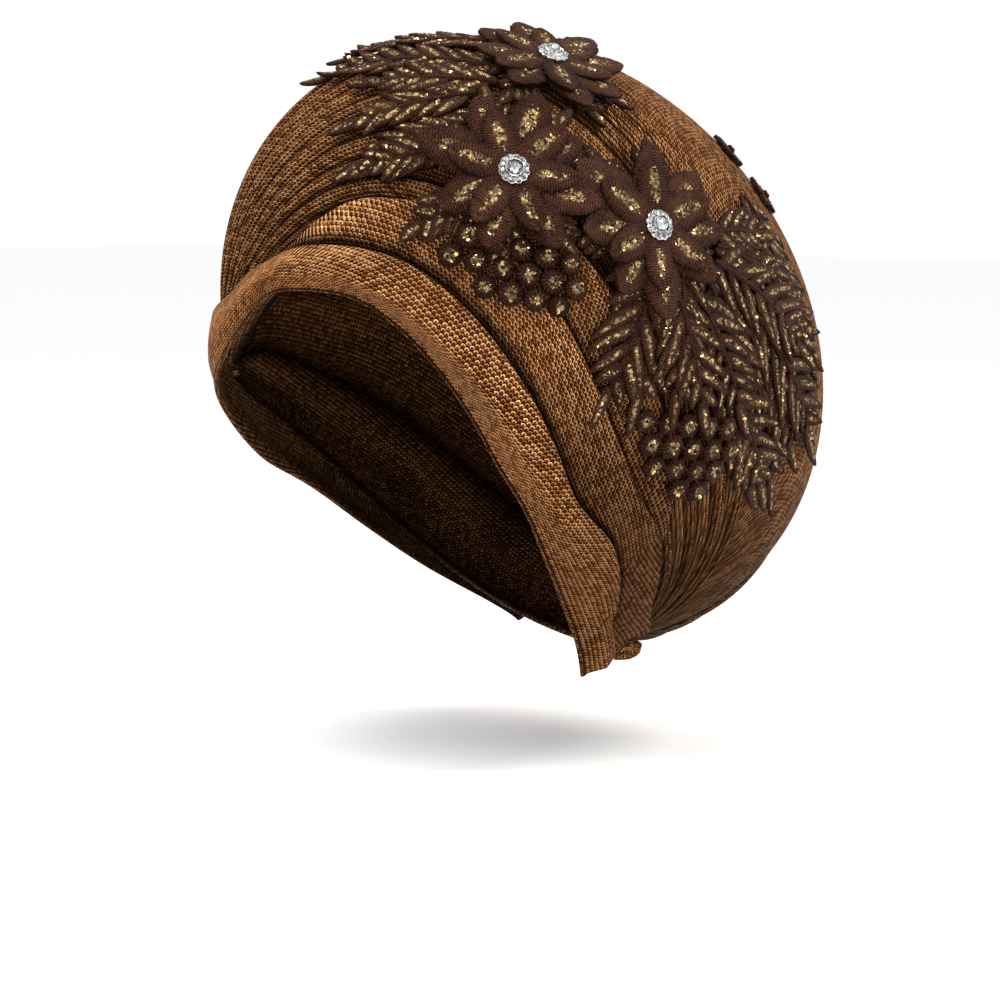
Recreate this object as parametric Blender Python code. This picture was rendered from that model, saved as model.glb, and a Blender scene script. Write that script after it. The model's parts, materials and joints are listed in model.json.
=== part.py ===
# Tied head tie: a puffed crown laid in pleats, three crossed wraps, a tucked end at the nape,
# corded lace (flowers, leaf sprays, berries, net) and three rhinestone buttons.
# Metres, +Z up. The wearer looks along -Y and the wearer's left is +X.
# The origin is the middle of the head opening, where the tie sits on the head.

import math

import bmesh
import bpy
from mathutils import Matrix, Vector

MM = 0.001

# Head opening: an oval at the brow that narrows towards the nape
HEAD_HALF_WIDTH = 72 * MM
HEAD_HALF_LENGTH = 96 * MM
NAPE_DROP = 75 * MM
NAPE_NARROWING = 0.26
EDGE_STANDOFF = 3 * MM

# Crown envelope: an oval puff that leans back and a little to the wearer's left
CROWN_HALF_WIDTH = 106 * MM
CROWN_HALF_LENGTH = 141 * MM
CROWN_HALF_HEIGHT = 105.5 * MM
CROWN_LEAN = math.radians(35.4)
CROWN_TURN = math.radians(4.8)
CROWN_CENTRE = Vector((11 * MM, 31 * MM, 45 * MM))

# The pleats run from a gather at the right temple to a gather at the left of the nape
TEMPLE_GATHER_AIM = Vector((-70.3, -89.1, -7.9))
NAPE_GATHER_AIM = Vector((34.7, 14.9, -110.0))
FIRST_SLIDE = 174.0
LAST_SLIDE = 3.5
CROWN_ROWS = 16
GATHER_REACH = 50 * MM
CROWN_WALL = 1.8 * MM
FAN_CROWDING = 1.6
CROWN_PLACE = 0.33
NAPE_PLACE = 0.75

# Rows of the crown, from its near edge to its far edge.
# Columns: folds, steps in a fold, height of a fold as a share of FOLD_HEIGHT, then the far edge of
# the row as turns in degrees about the line of the gathers at the temple, over the crown and at the nape.
FOLD_HEIGHT = 3.2 * MM
FOLD_ROUNDNESS = 0.6
NEAR_EDGE = (2, 22, 10)
CROWN_FOLDS = (
    (11, 4, 1.0, (62, 66, 48)),
    (1, 8, 1.125, (84, 104, 108)),
    (4, 4, 0.8125, (182, 180, 186)),
)

# Wraps
WRAP_WALL = 2.2 * MM
WRAP_BULGE = 1.2 * MM
LAYER_GAP = 0.4 * MM
WRAP_ROLL = 1.0 * MM
WRAP_ACROSS = 6
SIDE_FOLD_ROWS = 10
UPPER_WRAP_ROWS = 19
LOWER_WRAP_ROWS = 28
HEIGHT_UNIT = 100 * MM
CURL_SHARE = 0.45
OVERLAP_SHARE = 0.3
UPPER_TOP_LIFT = WRAP_WALL + WRAP_BULGE + 2 * LAYER_GAP
LOWER_LIFT = (LAYER_GAP + (UPPER_TOP_LIFT - LAYER_GAP) * OVERLAP_SHARE
              + 4 * WRAP_BULGE * OVERLAP_SHARE * (1 - OVERLAP_SHARE) + WRAP_WALL + LAYER_GAP)

# Columns: azimuth and height of the lower edge, azimuth and height of the upper edge, how far the
# upper edge stands off the crown as a share of the layers under it, and how far the lower edge
# curls in to the head (0 to 1).
# Azimuth is in degrees from the front, positive to the wearer's left; heights are shares of HEIGHT_UNIT.
LOWER_WRAP = (
    (98, -0.74, 106, -0.67, 1.0, 1.0),
    (91, -0.62, 100, -0.55, 1.0, 1.0),
    (80, -0.46, 92, -0.43, 1.0, 1.0),
    (69, -0.27, 80, -0.22, 1.0, 1.0),
    (61, -0.10, 68, -0.05, 1.0, 1.0),
    (53, 0.06, 61, 0.15, 1.0, 1.0),
    (46, 0.24, 54, 0.37, 1.0, 1.0),
    (38, 0.42, 46, 0.58, 1.0, 1.0),
    (29, 0.58, 38, 0.73, 1.0, 1.0),
    (20, 0.68, 30, 0.82, 1.0, 1.0),
    (10, 0.71, 20, 0.86, 1.0, 1.0),
    (0, 0.69, 9, 0.85, 1.0, 1.0),
    (-8, 0.58, -2, 0.77, 0.8, 1.0),
    (-18, 0.46, -12, 0.68, 0.2, 1.0),
    (-30, 0.36, -26, 0.60, 0.1, 1.0),
    (-48, 0.22, -47, 0.46, 0.1, 1.0),
    (-70, 0.04, -70, 0.32, 0.1, 1.0),
    (-92, -0.10, -92, 0.18, 0.1, 0.9),
    (-114, -0.28, -114, -0.02, 0.15, 0.5),
    (-136, -0.48, -136, -0.27, 0.15, 0.15),
    (-158, -0.66, -158, -0.50, 0.15, 0.0),
)
UPPER_WRAP = (
    (-1, 0.74, 1, 0.80, 0.0, 0.0),
    (7, 0.77, 8, 0.875, 0.2, 0.0),
    (14, 0.79, 14, 0.95, 0.6, 0.0),
    (21, 0.79, 22, 1.015, 1.0, 0.0),
    (28, 0.76, 30, 1.02, 1.0, 0.0),
    (35, 0.69, 38, 0.99, 1.0, 0.0),
    (43, 0.57, 48, 0.87, 1.0, 0.0),
    (51, 0.38, 57, 0.71, 1.0, 0.0),
    (58, 0.16, 65, 0.45, 1.0, 0.0),
    (66, -0.07, 73, 0.18, 1.0, 0.0),
    (76, -0.25, 81, -0.03, 1.0, 0.0),
    (87, -0.42, 90, -0.18, 1.0, 0.0),
    (96, -0.53, 99, -0.37, 1.0, 0.0),
    (104, -0.61, 107, -0.50, 1.0, 0.0),
    (113, -0.665, 119, -0.61, 1.0, 0.0),
)
SIDE_FOLD = (
    (44, 0.84, 50, 1.00, 0.0, 0.0),
    (51, 0.70, 60, 0.92, 0.0, 0.0),
    (58, 0.52, 69, 0.74, 0.0, 0.0),
    (65, 0.28, 77, 0.50, 0.0, 0.0),
    (72, 0.07, 84, 0.22, 0.0, 0.0),
    (79, -0.08, 90, 0.00, 0.0, 0.0),
    (86, -0.21, 94, -0.16, 0.0, 0.0),
    (89, -0.26, 95, -0.22, 0.0, 0.0),
)

# Tucked end: a rolled end of cloth that hangs from the nape gather
TUCK_LENGTH = 17 * MM
TUCK_WIDTH = 12 * MM
TUCK_DEPTH = 8 * MM
TUCK_SIDES = 12
TUCK_RINGS = 6
TUCK_FULLNESS = 0.7
TUCK_HEADING = -38.0
TUCK_CLEARANCE = 0.4 * MM

# Lace: layers of corded cloth over the crown and the wraps
LACE_WALL = 1.6 * MM
FLOWER_WALL = 1.8 * MM
CROWN_LACE_LIFT = LAYER_GAP
FOLD_LACE_LIFT = WRAP_WALL + WRAP_BULGE + 2 * LAYER_GAP
WRAP_LACE_LIFT = UPPER_TOP_LIFT + WRAP_WALL + LAYER_GAP
SIDE_SINK = 0.6 * MM
LACE_GAP = 0.3 * MM
CUP_SINK = 0.6 * MM
BERRY_DOME = 1.4 * MM
FLORET_DOME = 0.8 * MM

STEM_LENGTH = 66 * MM
STEM_HALF_WIDTH = 1.6 * MM
STEM_TAPER = 0.5
LEAFLET_LENGTH = 20 * MM
LEAFLET_FILL = 0.82
LEAFLET_CURL = 4 * MM
LEAF_RISE = 0.9 * MM
LEAF_START = 0.25
LEAF_GROWTH = 0.5
LEAF_TIP_SHARE = 0.7
LEAF_WIDEST_SHARE = 0.45

PETAL_LENGTH = 29 * MM
PETAL_ROOT = 0.27
PETAL_NOTCH = 0.34
PETAL_RISE = 1.5 * MM
PETAL_RISE_START = 0.25
PETAL_RISE_SPAN = 0.65
PETAL_SEGMENTS = 6
PETAL_FULLNESS = 0.7
PETAL_RINGS = (0.0, 0.55, 1.0)
FLOWER_CUP = 1.6 * MM

# What a flower lies on: leaflets on the crown, berries on the wraps, leaflets on the side fold
OVER_CROWN_LEAVES = CROWN_LACE_LIFT + LACE_WALL + LEAF_RISE + LACE_GAP - CUP_SINK
OVER_BERRIES = WRAP_LACE_LIFT + LACE_WALL + BERRY_DOME + LACE_GAP - CUP_SINK
OVER_FOLD_LEAVES = FOLD_LACE_LIFT + LACE_WALL + LEAF_RISE + LACE_GAP - CUP_SINK
SIDE_LACE_LIFT = CROWN_LACE_LIFT - SIDE_SINK

# Columns: name, turn, slide, petal length as a share of PETAL_LENGTH, petals, roll, lift
FLOWERS = (
    ("flower_top", 59.1, 109.8, 1.0, 8, 12.0, OVER_CROWN_LEAVES),
    ("flower_middle", 37.6, 109.0, 1.0, 8, 30.0, OVER_BERRIES),
    ("flower_side", 44.0, 90.5, 1.086, 8, 4.0, OVER_FOLD_LEAVES),
    ("floret_upper", 77.0, 84.5, 0.293, 6, 0.0, SIDE_LACE_LIFT),
    ("floret_lower", 77.0, 77.5, 0.293, 6, 20.0, SIDE_LACE_LIFT),
)

# Columns: name, turn, slide, heading and bend in degrees, stem as a share of STEM_LENGTH, pairs of
# leaflets, leaflet as a share of LEAFLET_LENGTH, splay in degrees, curl of the leaflet tips as a
# share of LEAFLET_CURL, lift
SPRAYS = (
    ("spray_top", 54.1, 114.2, 172.0, -6.0, 1.0, 8, 0.85, 38.0, 1.0, CROWN_LACE_LIFT),
    ("spray_left", 45.0, 113.9, -152.0, -8.0, 0.697, 6, 0.85, 36.0, 0.25, CROWN_LACE_LIFT),
    ("spray_lower", 41.4, 87.7, -94.0, -8.0, 0.667, 6, 1.05, 44.0, 0.125, FOLD_LACE_LIFT),
    ("spray_right", 49.5, 78.6, -52.0, -14.0, 1.394, 10, 1.2, 40.0, 0.75, CROWN_LACE_LIFT),
    ("spray_edge", 65.4, 80.9, -62.0, -16.0, 1.0, 8, 1.0, 42.0, 0.75, SIDE_LACE_LIFT),
)

# Lace made of small discs joined by bars on a three-way grid.
# Columns: name, turn, slide, heading, spacing as a share of DISC_SPACING, disc radius as a share of
# the spacing, dome, lift, discs in each row, shift of each row in half spacings
DISC_SPACING = 8.6 * MM
DISC_LACES = (
    ("berry_cluster", 30.0, 107.5, -12.0, 1.0, 0.407, BERRY_DOME, WRAP_LACE_LIFT, (7, 8, 5), (0, -1, 4)),
    ("floret_net", 33.8, 66.2, -8.0, 1.07, 0.391, FLORET_DOME, FOLD_LACE_LIFT, (5, 5, 4, 2), (0, 1, 2, 5)),
)

# Rhinestone buttons
BUTTON_RADIUS = 5.75 * MM
BUTTON_BASE = 1.4 * MM
BUTTON_LOBES = 12
BUTTON_CLEARANCE = 0.9 * MM
LOBE_DEPTH = 0.5 * MM
RING_STONE_RISE = 1.1 * MM
BEZEL_WALL = 0.55 * MM
BEZEL_RISE = 1.3 * MM
STONE_RADIUS = 2.6 * MM
STONE_CLEARANCE = 0.3 * MM
STONE_SIDES = 8
STONE_HEIGHT = 2.5 * MM
STONE_GIRDLE_SHARE = 0.35
STONE_TABLE_SHARE = 0.58
BUTTONS = (("top", 0), ("middle", 1), ("side", 2))

# Finishes: colour, roughness, metallic, and the angle in degrees up to which edges are shaded smooth
WRAP_FINISH = ((0.20, 0.09, 0.03, 1), 0.4, 0.35, 60)
PLEAT_FINISH = ((0.15, 0.065, 0.022, 1), 0.45, 0.3, 50)
LACE_FINISH = ((0.055, 0.025, 0.018, 1), 0.8, 0.0, 30)
SILVER_FINISH = ((0.75, 0.76, 0.78, 1), 0.2, 1.0, 20)
STONE_FINISH = ((0.9, 0.95, 0.97, 1), 0.03, 0.0, 20)


def crown_axes():
    turn = Matrix.Rotation(CROWN_TURN, 3, "Z")
    lean_cos, lean_sin = math.cos(CROWN_LEAN), math.sin(CROWN_LEAN)
    across = turn @ Vector((1, 0, 0))
    along = turn @ Vector((0, lean_cos, -lean_sin))
    upward = turn @ Vector((0, lean_sin, lean_cos))
    return across, along, upward


CROWN_AXES = crown_axes()
CROWN_HALVES = (CROWN_HALF_WIDTH, CROWN_HALF_LENGTH, CROWN_HALF_HEIGHT)


def scaled(vector, lift=0.0):
    """The vector measured in the half axes of the crown envelope, grown by lift."""
    return Vector(tuple(axis.dot(vector) / (half + lift) for axis, half in zip(CROWN_AXES, CROWN_HALVES)))


def envelope_reach(start, heading, lift=0.0):
    """How far the envelope lies from start along heading, or None where it is missed."""
    offset = scaled(start - CROWN_CENTRE, lift)
    step = scaled(heading, lift)
    a = step.dot(step)
    b = 2 * offset.dot(step)
    c = offset.dot(offset) - 1
    inside = b * b - 4 * a * c
    if inside < 0:
        return None
    return (math.sqrt(inside) - b) / (2 * a)


def envelope_normal(point):
    """The outward direction of the envelope at a point on it."""
    inner = scaled(point - CROWN_CENTRE)
    normal = Vector((0, 0, 0))
    for axis, half, share in zip(CROWN_AXES, CROWN_HALVES, inner):
        normal += axis * (share / half)
    return normal.normalized()


def envelope_point(aim, lift=0.0):
    """The point of the envelope that the centre of the crown sees along aim, raised by lift."""
    heading = aim.normalized()
    point = CROWN_CENTRE + heading * envelope_reach(CROWN_CENTRE, heading)
    return point + envelope_normal(point) * lift


TEMPLE_GATHER = envelope_point(TEMPLE_GATHER_AIM)
NAPE_GATHER = envelope_point(NAPE_GATHER_AIM)
GATHER_MIDDLE = (TEMPLE_GATHER + NAPE_GATHER) / 2
GATHER_LINE = (NAPE_GATHER - TEMPLE_GATHER).normalized()
TO_CENTRE = CROWN_CENTRE - GATHER_MIDDLE
GATHER_UP = (TO_CENTRE - GATHER_LINE * TO_CENTRE.dot(GATHER_LINE)).normalized()
GATHER_SIDE = GATHER_LINE.cross(GATHER_UP)


def crown_point(turn, slide, lift=0.0):
    """A point of the crown: turn about the gather line, slide from the nape gather (0) to the temple (180)."""
    turn, slide = math.radians(turn), math.radians(slide)
    away = GATHER_UP * math.sin(turn) + GATHER_SIDE * math.cos(turn)
    heading = GATHER_LINE * math.cos(slide) + away * math.sin(slide)
    point = GATHER_MIDDLE + heading * envelope_reach(GATHER_MIDDLE, heading)
    return point + envelope_normal(point) * lift


def smooth_step(share):
    share = min(1.0, max(0.0, share))
    return share * share * (3 - 2 * share)


def line_turn(turns, slide):
    """The turn of a fold line at a slide, blended from its turns at the temple, crown and nape."""
    temple, crown, nape = turns
    passed = (180 - slide) / 180
    if passed < CROWN_PLACE:
        return temple + (crown - temple) * smooth_step(passed / CROWN_PLACE)
    return crown + (nape - crown) * smooth_step((passed - CROWN_PLACE) / (NAPE_PLACE - CROWN_PLACE))


def build_object(name, points, faces, finish):
    colour, roughness, metallic, smooth_angle = finish
    mesh = bpy.data.meshes.new(name)
    mesh.from_pydata([tuple(point) for point in points], [], faces)
    body = bmesh.new()
    body.from_mesh(mesh)
    bmesh.ops.recalc_face_normals(body, faces=body.faces)
    body.to_mesh(mesh)
    body.free()
    mesh.shade_smooth()
    mesh.set_sharp_from_angle(angle=math.radians(smooth_angle))
    material = bpy.data.materials.new(name + "_finish")
    material.use_nodes = True
    shader = material.node_tree.nodes["Principled BSDF"]
    shader.inputs["Base Color"].default_value = colour
    shader.inputs["Roughness"].default_value = roughness
    shader.inputs["Metallic"].default_value = metallic
    mesh.materials.append(material)
    obj = bpy.data.objects.new(name, mesh)
    bpy.context.collection.objects.link(obj)
    return obj


def fold_columns(inner):
    """The columns of the crown grid: three turns, and how far each stands below the envelope."""
    columns = []
    near = NEAR_EDGE
    for folds, steps, height, far in CROWN_FOLDS:
        crowding = (FAN_CROWDING if near == NEAR_EDGE else 1.0, 1.0, 1.0)
        step_size = max(1, steps // 2) if inner else 1
        for fold in range(folds):
            for step in range(0, steps, step_size):
                share = (fold + step / steps) / folds
                turns = tuple(a + (b - a) * share ** power for a, b, power in zip(near, far, crowding))
                hump = math.sin(math.pi * step / steps) ** FOLD_ROUNDNESS
                columns.append((turns, FOLD_HEIGHT * height * (1 - hump)))
        near = far
    columns.append((near, FOLD_HEIGHT * CROWN_FOLDS[-1][2]))
    return columns


def crown_sheet(inner):
    """Rows of points of the outer or the inner face of the crown."""
    rows = []
    for row in range(CROWN_ROWS + 1):
        slide = FIRST_SLIDE + (LAST_SLIDE - FIRST_SLIDE) * row / CROWN_ROWS
        line = []
        for turns, sunk in fold_columns(inner):
            turn = line_turn(turns, slide)
            base = crown_point(turn, slide)
            along = (base - GATHER_MIDDLE).dot(GATHER_LINE)
            from_line = (base - GATHER_MIDDLE - GATHER_LINE * along).length
            sink = sunk * min(1.0, from_line / GATHER_REACH) + (CROWN_WALL if inner else 0.0)
            line.append(base - envelope_normal(base) * sink)
        rows.append(line)
    return rows


def grid_faces(start, rows, columns):
    faces = []
    for row in range(rows - 1):
        for column in range(columns - 1):
            first = start + row * columns + column
            faces.append((first, first + 1, first + columns + 1, first + columns))
    return faces


def bridge(first_line, second_line):
    """Faces between two lines of point numbers that may differ in count."""
    faces = []
    i = j = 0
    last_i, last_j = len(first_line) - 1, len(second_line) - 1
    while i < last_i or j < last_j:
        if j == last_j or (i < last_i and (i + 1) * last_j <= (j + 1) * last_i):
            faces.append((first_line[i], first_line[i + 1], second_line[j]))
            i += 1
        else:
            faces.append((first_line[i], second_line[j + 1], second_line[j]))
            j += 1
    return faces


def reversed_faces(faces):
    return [tuple(reversed(face)) for face in faces]


def make_crown():
    outer = crown_sheet(False)
    inner = crown_sheet(True)
    rows, wide, narrow = len(outer), len(outer[0]), len(inner[0])
    points = [point for line in outer for point in line]
    inner_start = len(points)
    points += [point for line in inner for point in line]
    faces = grid_faces(0, rows, wide)
    faces += reversed_faces(grid_faces(inner_start, rows, narrow))
    top_outer = list(range(wide))
    top_inner = list(range(inner_start, inner_start + narrow))
    faces += reversed_faces(bridge(top_outer, top_inner))
    end_outer = [(rows - 1) * wide + column for column in range(wide)]
    end_inner = [inner_start + (rows - 1) * narrow + column for column in range(narrow)]
    faces += bridge(end_outer, end_inner)
    near_outer = [row * wide for row in range(rows)]
    near_inner = [inner_start + row * narrow for row in range(rows)]
    faces += bridge(near_outer, near_inner)
    far_outer = [row * wide + wide - 1 for row in range(rows)]
    far_inner = [inner_start + row * narrow + narrow - 1 for row in range(rows)]
    faces += reversed_faces(bridge(far_outer, far_inner))
    return build_object("pleated_crown", points, faces, PLEAT_FINISH)


def head_radius(azimuth, height):
    """The head opening's half size at an azimuth, narrower towards the nape."""
    angle = math.radians(azimuth)
    oval = 1 / math.hypot(math.sin(angle) / HEAD_HALF_WIDTH, math.cos(angle) / HEAD_HALF_LENGTH)
    narrowing = NAPE_NARROWING * min(1.0, max(0.0, -height / NAPE_DROP))
    return oval * (1 - narrowing) + EDGE_STANDOFF


def wrap_point(azimuth, height, lift, wall, over):
    """A point of a wrap, from the head's oval (over = 0) out to the crown (over = 1)."""
    angle = math.radians(azimuth)
    heading = Vector((math.sin(angle), -math.cos(angle), 0))
    axis_point = Vector((0, 0, height))
    on_head = head_radius(azimuth, height) + lift * over + wall
    on_crown = envelope_reach(axis_point, heading, lift + wall)
    if on_crown is None:
        return axis_point + heading * on_head
    radius = on_head + (max(on_head, on_crown) - on_head) * over
    return axis_point + heading * radius


def table_row(table, share):
    """A row of the table at a share of its length, on a smooth curve through its rows."""
    place = share * (len(table) - 1)
    index = min(int(place), len(table) - 2)
    t = place - index
    before = table[max(index - 1, 0)]
    start, end = table[index], table[index + 1]
    after = table[min(index + 2, len(table) - 1)]
    values = []
    for a, b, c, d in zip(before, start, end, after):
        values.append(b + t * ((c - a) + t * ((2 * a - 5 * b + 4 * c - d) + t * (3 * b - a - 3 * c + d))) / 2)
    return values


def across_wrap(edges, lifts, share, wall):
    """The point at a share of the way across a wrap, whose lowest part curls in to the head."""
    low_azimuth, low_height, top_azimuth, top_height, layers, curl = edges
    azimuth = low_azimuth + (top_azimuth - low_azimuth) * share
    height = (low_height + (top_height - low_height) * share) * HEIGHT_UNIT
    held = min(1.0, max(0.0, share))
    stacked = LAYER_GAP + (lifts[0] + (lifts[1] - lifts[0]) * held - LAYER_GAP) * layers
    over = 1 - curl * (1 - smooth_step(held / CURL_SHARE))
    return wrap_point(azimuth, height, stacked + WRAP_BULGE * 4 * held * (1 - held), wall, over)


def wrap_width(edges, lifts):
    return (across_wrap(edges, lifts, 1, 0) - across_wrap(edges, lifts, 0, 0)).length


def make_wrap(name, table, rows, low_lift, top_lift):
    """A ribbon of cloth along a table of its two edges, with rolled edges and closed ends."""
    shares = [step / (WRAP_ACROSS - 1) for step in range(WRAP_ACROSS)]
    points = []
    for row in range(rows + 1):
        edges = table_row(table, row / rows)
        lifts = (low_lift, top_lift)
        roll = WRAP_ROLL / max(wrap_width(edges, lifts), WRAP_ROLL)
        points += [across_wrap(edges, lifts, share, WRAP_WALL) for share in shares]
        points.append(across_wrap(edges, lifts, 1 + roll, WRAP_WALL / 2))
        points += [across_wrap(edges, lifts, share, 0) for share in reversed(shares)]
        points.append(across_wrap(edges, lifts, -roll, WRAP_WALL / 2))
    around = 2 * WRAP_ACROSS + 2
    faces = []
    for row in range(rows):
        for step in range(around):
            a = row * around + step
            b = row * around + (step + 1) % around
            faces.append((a, a + around, b + around, b))
    faces += end_cap(0, around)
    faces += reversed_faces(end_cap(rows * around, around))
    return build_object(name, points, faces, WRAP_FINISH)


def end_cap(start, around):
    """Faces that close a ribbon's end: its outer points meet the inner points across the wall."""
    faces = [(start + around - 1, start, start + around - 2)]
    for step in range(WRAP_ACROSS - 1):
        outer = start + step
        inner = start + around - 2 - step
        faces.append((outer, outer + 1, inner - 1, inner))
    faces.append((start + WRAP_ACROSS - 1, start + WRAP_ACROSS, start + WRAP_ACROSS + 1))
    return faces


def seat_frame(aim_point):
    """At a point of the crown: the centre's view of it, its right, its up and its distance."""
    view = aim_point - CROWN_CENTRE
    distance = view.length
    view.normalize()
    up = (Vector((0, 0, 1)) - view * view.z).normalized()
    return view, up.cross(view), up, distance


def on_crown(frame, x, y, lift):
    """The point x to the right and y up from the frame's seat, measured over the crown."""
    view, right, up, distance = frame
    length = math.hypot(x, y)
    if length == 0:
        return envelope_point(view, lift)
    angle = length / distance
    away = (right * x + up * y) / length
    return envelope_point(view * math.cos(angle) + away * math.sin(angle), lift)


def make_plate(name, frame, flat_points, faces, lift, wall):
    """A plate over the crown: flat points are (x, y, rise of the lower face, rise of the upper face)."""
    count = len(flat_points)
    points = [on_crown(frame, x, y, lift + wall + high) for x, y, low, high in flat_points]
    points += [on_crown(frame, x, y, lift + low) for x, y, low, high in flat_points]
    all_faces = list(faces)
    all_faces += [tuple(index + count for index in reversed(face)) for face in faces]
    edges = set()
    for face in faces:
        for index, corner in enumerate(face):
            edges.add((corner, face[(index + 1) % len(face)]))
    for a, b in sorted(edges):
        if (b, a) not in edges:
            all_faces.append((b, a, a + count, b + count))
    return build_object(name, points, all_faces, LACE_FINISH)


def make_flower(name, turn, slide, length_share, petals, roll, lift):
    """Petals round a middle, joined at their roots, each with a raised middle and a lifted tip."""
    frame = seat_frame(crown_point(turn, slide))
    length = PETAL_LENGTH * length_share
    around = petals * PETAL_SEGMENTS
    flat_points = [(0, 0, 0, 0)]
    for ring in PETAL_RINGS:
        for step in range(around):
            phase = step / PETAL_SEGMENTS * math.pi
            swell = abs(math.cos(phase)) ** PETAL_FULLNESS
            outline = length * (PETAL_NOTCH + (1 - PETAL_NOTCH) * swell)
            reach = length * PETAL_ROOT + (outline - length * PETAL_ROOT) * ring
            angle = math.radians(roll) + 2 * math.pi * step / around
            cup = FLOWER_CUP * length_share * (reach / length) ** 2
            along = math.pi * (PETAL_RISE_START + PETAL_RISE_SPAN * ring)
            rise = PETAL_RISE * length_share * math.cos(phase) ** 2 * math.sin(along)
            flat_points.append((reach * math.cos(angle), reach * math.sin(angle), cup, cup + rise))
    faces = []
    for step in range(around):
        after = (step + 1) % around
        faces.append((0, 1 + step, 1 + after))
        for ring in range(len(PETAL_RINGS) - 1):
            start = 1 + ring * around
            faces.append((start + step, start + around + step, start + around + after, start + after))
    return make_plate(name, frame, flat_points, faces, lift, FLOWER_WALL)


def make_spray(name, turn, slide, heading, bend, stem_share, pairs, leaflet_share, splay, curl_share, lift):
    """A bending stem with a leaflet on each side at every step and one at its tip."""
    frame = seat_frame(crown_point(turn, slide))
    leaflet = LEAFLET_LENGTH * leaflet_share
    curl = LEAFLET_CURL * curl_share
    x = y = 0.0
    angle = math.radians(heading)
    step_length = STEM_LENGTH * stem_share / (2 * pairs)
    width = LEAFLET_FILL * 2 * step_length * math.sin(math.radians(splay))
    flat_points = []
    faces = []
    stations = []
    for station in range(2 * pairs + 1):
        side_x, side_y = -math.sin(angle), math.cos(angle)
        taper = STEM_HALF_WIDTH * (1 - STEM_TAPER * station / (2 * pairs))
        left = len(flat_points)
        flat_points.append((x + side_x * taper, y + side_y * taper, 0, 0))
        flat_points.append((x - side_x * taper, y - side_y * taper, 0, 0))
        stations.append((left, left + 1, angle))
        if station:
            before = stations[-2]
            faces.append((before[1], left + 1, left, before[0]))
        x += math.cos(angle) * step_length
        y += math.sin(angle) * step_length
        angle += math.radians(bend) / (2 * pairs)
    for pair in range(pairs):
        middle = (pair + 0.5) / pairs
        growth = math.sin(math.pi * (LEAF_START + (1 - LEAF_START) * middle)) ** LEAF_GROWTH
        first, second = stations[2 * pair], stations[2 * pair + 1]
        for side, a, b in ((1, second[0], first[0]), (-1, first[1], second[1])):
            aim = first[2] + side * math.radians(splay)
            add_leaflet(flat_points, faces, a, b, aim, leaflet * growth, width, curl * (pair + 1) / pairs)
    tip = stations[-1]
    add_leaflet(flat_points, faces, tip[1], tip[0], tip[2], leaflet * LEAF_TIP_SHARE, width, curl)
    return make_plate(name, frame, flat_points, faces, lift, LACE_WALL)


def add_leaflet(flat_points, faces, a, b, angle, length, width, curl):
    """A pointed leaflet on the edge from point a to point b, widest before its middle, its tip curled up."""
    middle_x = (flat_points[a][0] + flat_points[b][0]) / 2
    middle_y = (flat_points[a][1] + flat_points[b][1]) / 2
    along_x, along_y = math.cos(angle), math.sin(angle)
    half = width / 2
    wide = LEAF_WIDEST_SHARE * length
    start = len(flat_points)
    for forward, aside, rise in ((wide, -half, 0), (wide, half, 0), (wide, 0, LEAF_RISE), (length, 0, 0)):
        lifted = curl * (forward / length) ** 2
        flat_points.append((middle_x + along_x * forward - along_y * aside,
                            middle_y + along_y * forward + along_x * aside, lifted, lifted + rise))
    right, left, ridge, point = start, start + 1, start + 2, start + 3
    faces += [(a, right, ridge), (a, ridge, b), (b, ridge, left), (right, point, ridge), (ridge, point, left)]


def make_disc_lace(name, turn, slide, heading, spacing_share, radius_share, dome, lift, counts, shifts):
    """Six-sided discs on a three-way grid, each joined to its neighbours by a bar."""
    frame = seat_frame(crown_point(turn, slide))
    spacing = DISC_SPACING * spacing_share
    radius = spacing * radius_share
    flat_points = []
    faces = []
    discs = {}
    turn_cos, turn_sin = math.cos(math.radians(heading)), math.sin(math.radians(heading))
    row_step = spacing * math.sqrt(3) / 2
    for row, (count, shift) in enumerate(zip(counts, shifts)):
        for index in range(count):
            half_steps = 2 * index + shift - counts[0] + 1
            flat_x = half_steps * spacing / 2
            flat_y = -row * row_step
            x = flat_x * turn_cos - flat_y * turn_sin
            y = flat_x * turn_sin + flat_y * turn_cos
            start = len(flat_points)
            flat_points.append((x, y, 0, dome))
            for corner in range(6):
                angle = math.radians(heading + 30 + 60 * corner)
                flat_points.append((x + radius * math.cos(angle), y + radius * math.sin(angle), 0, 0))
            for corner in range(6):
                faces.append((start, start + 1 + corner, start + 1 + (corner + 1) % 6))
            discs[(half_steps, row)] = start
    for (half_steps, row), start in discs.items():
        for (step, down), edge in (((2, 0), 5), ((1, 1), 4), ((-1, 1), 3)):
            other = discs.get((half_steps + step, row + down))
            if other is None:
                continue
            a, b = start + 1 + edge, start + 1 + (edge + 1) % 6
            facing = (edge + 3) % 6
            c, d = other + 1 + facing, other + 1 + (facing + 1) % 6
            faces.append((b, a, d, c))
    return make_plate(name, frame, flat_points, faces, lift, LACE_WALL)


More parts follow.
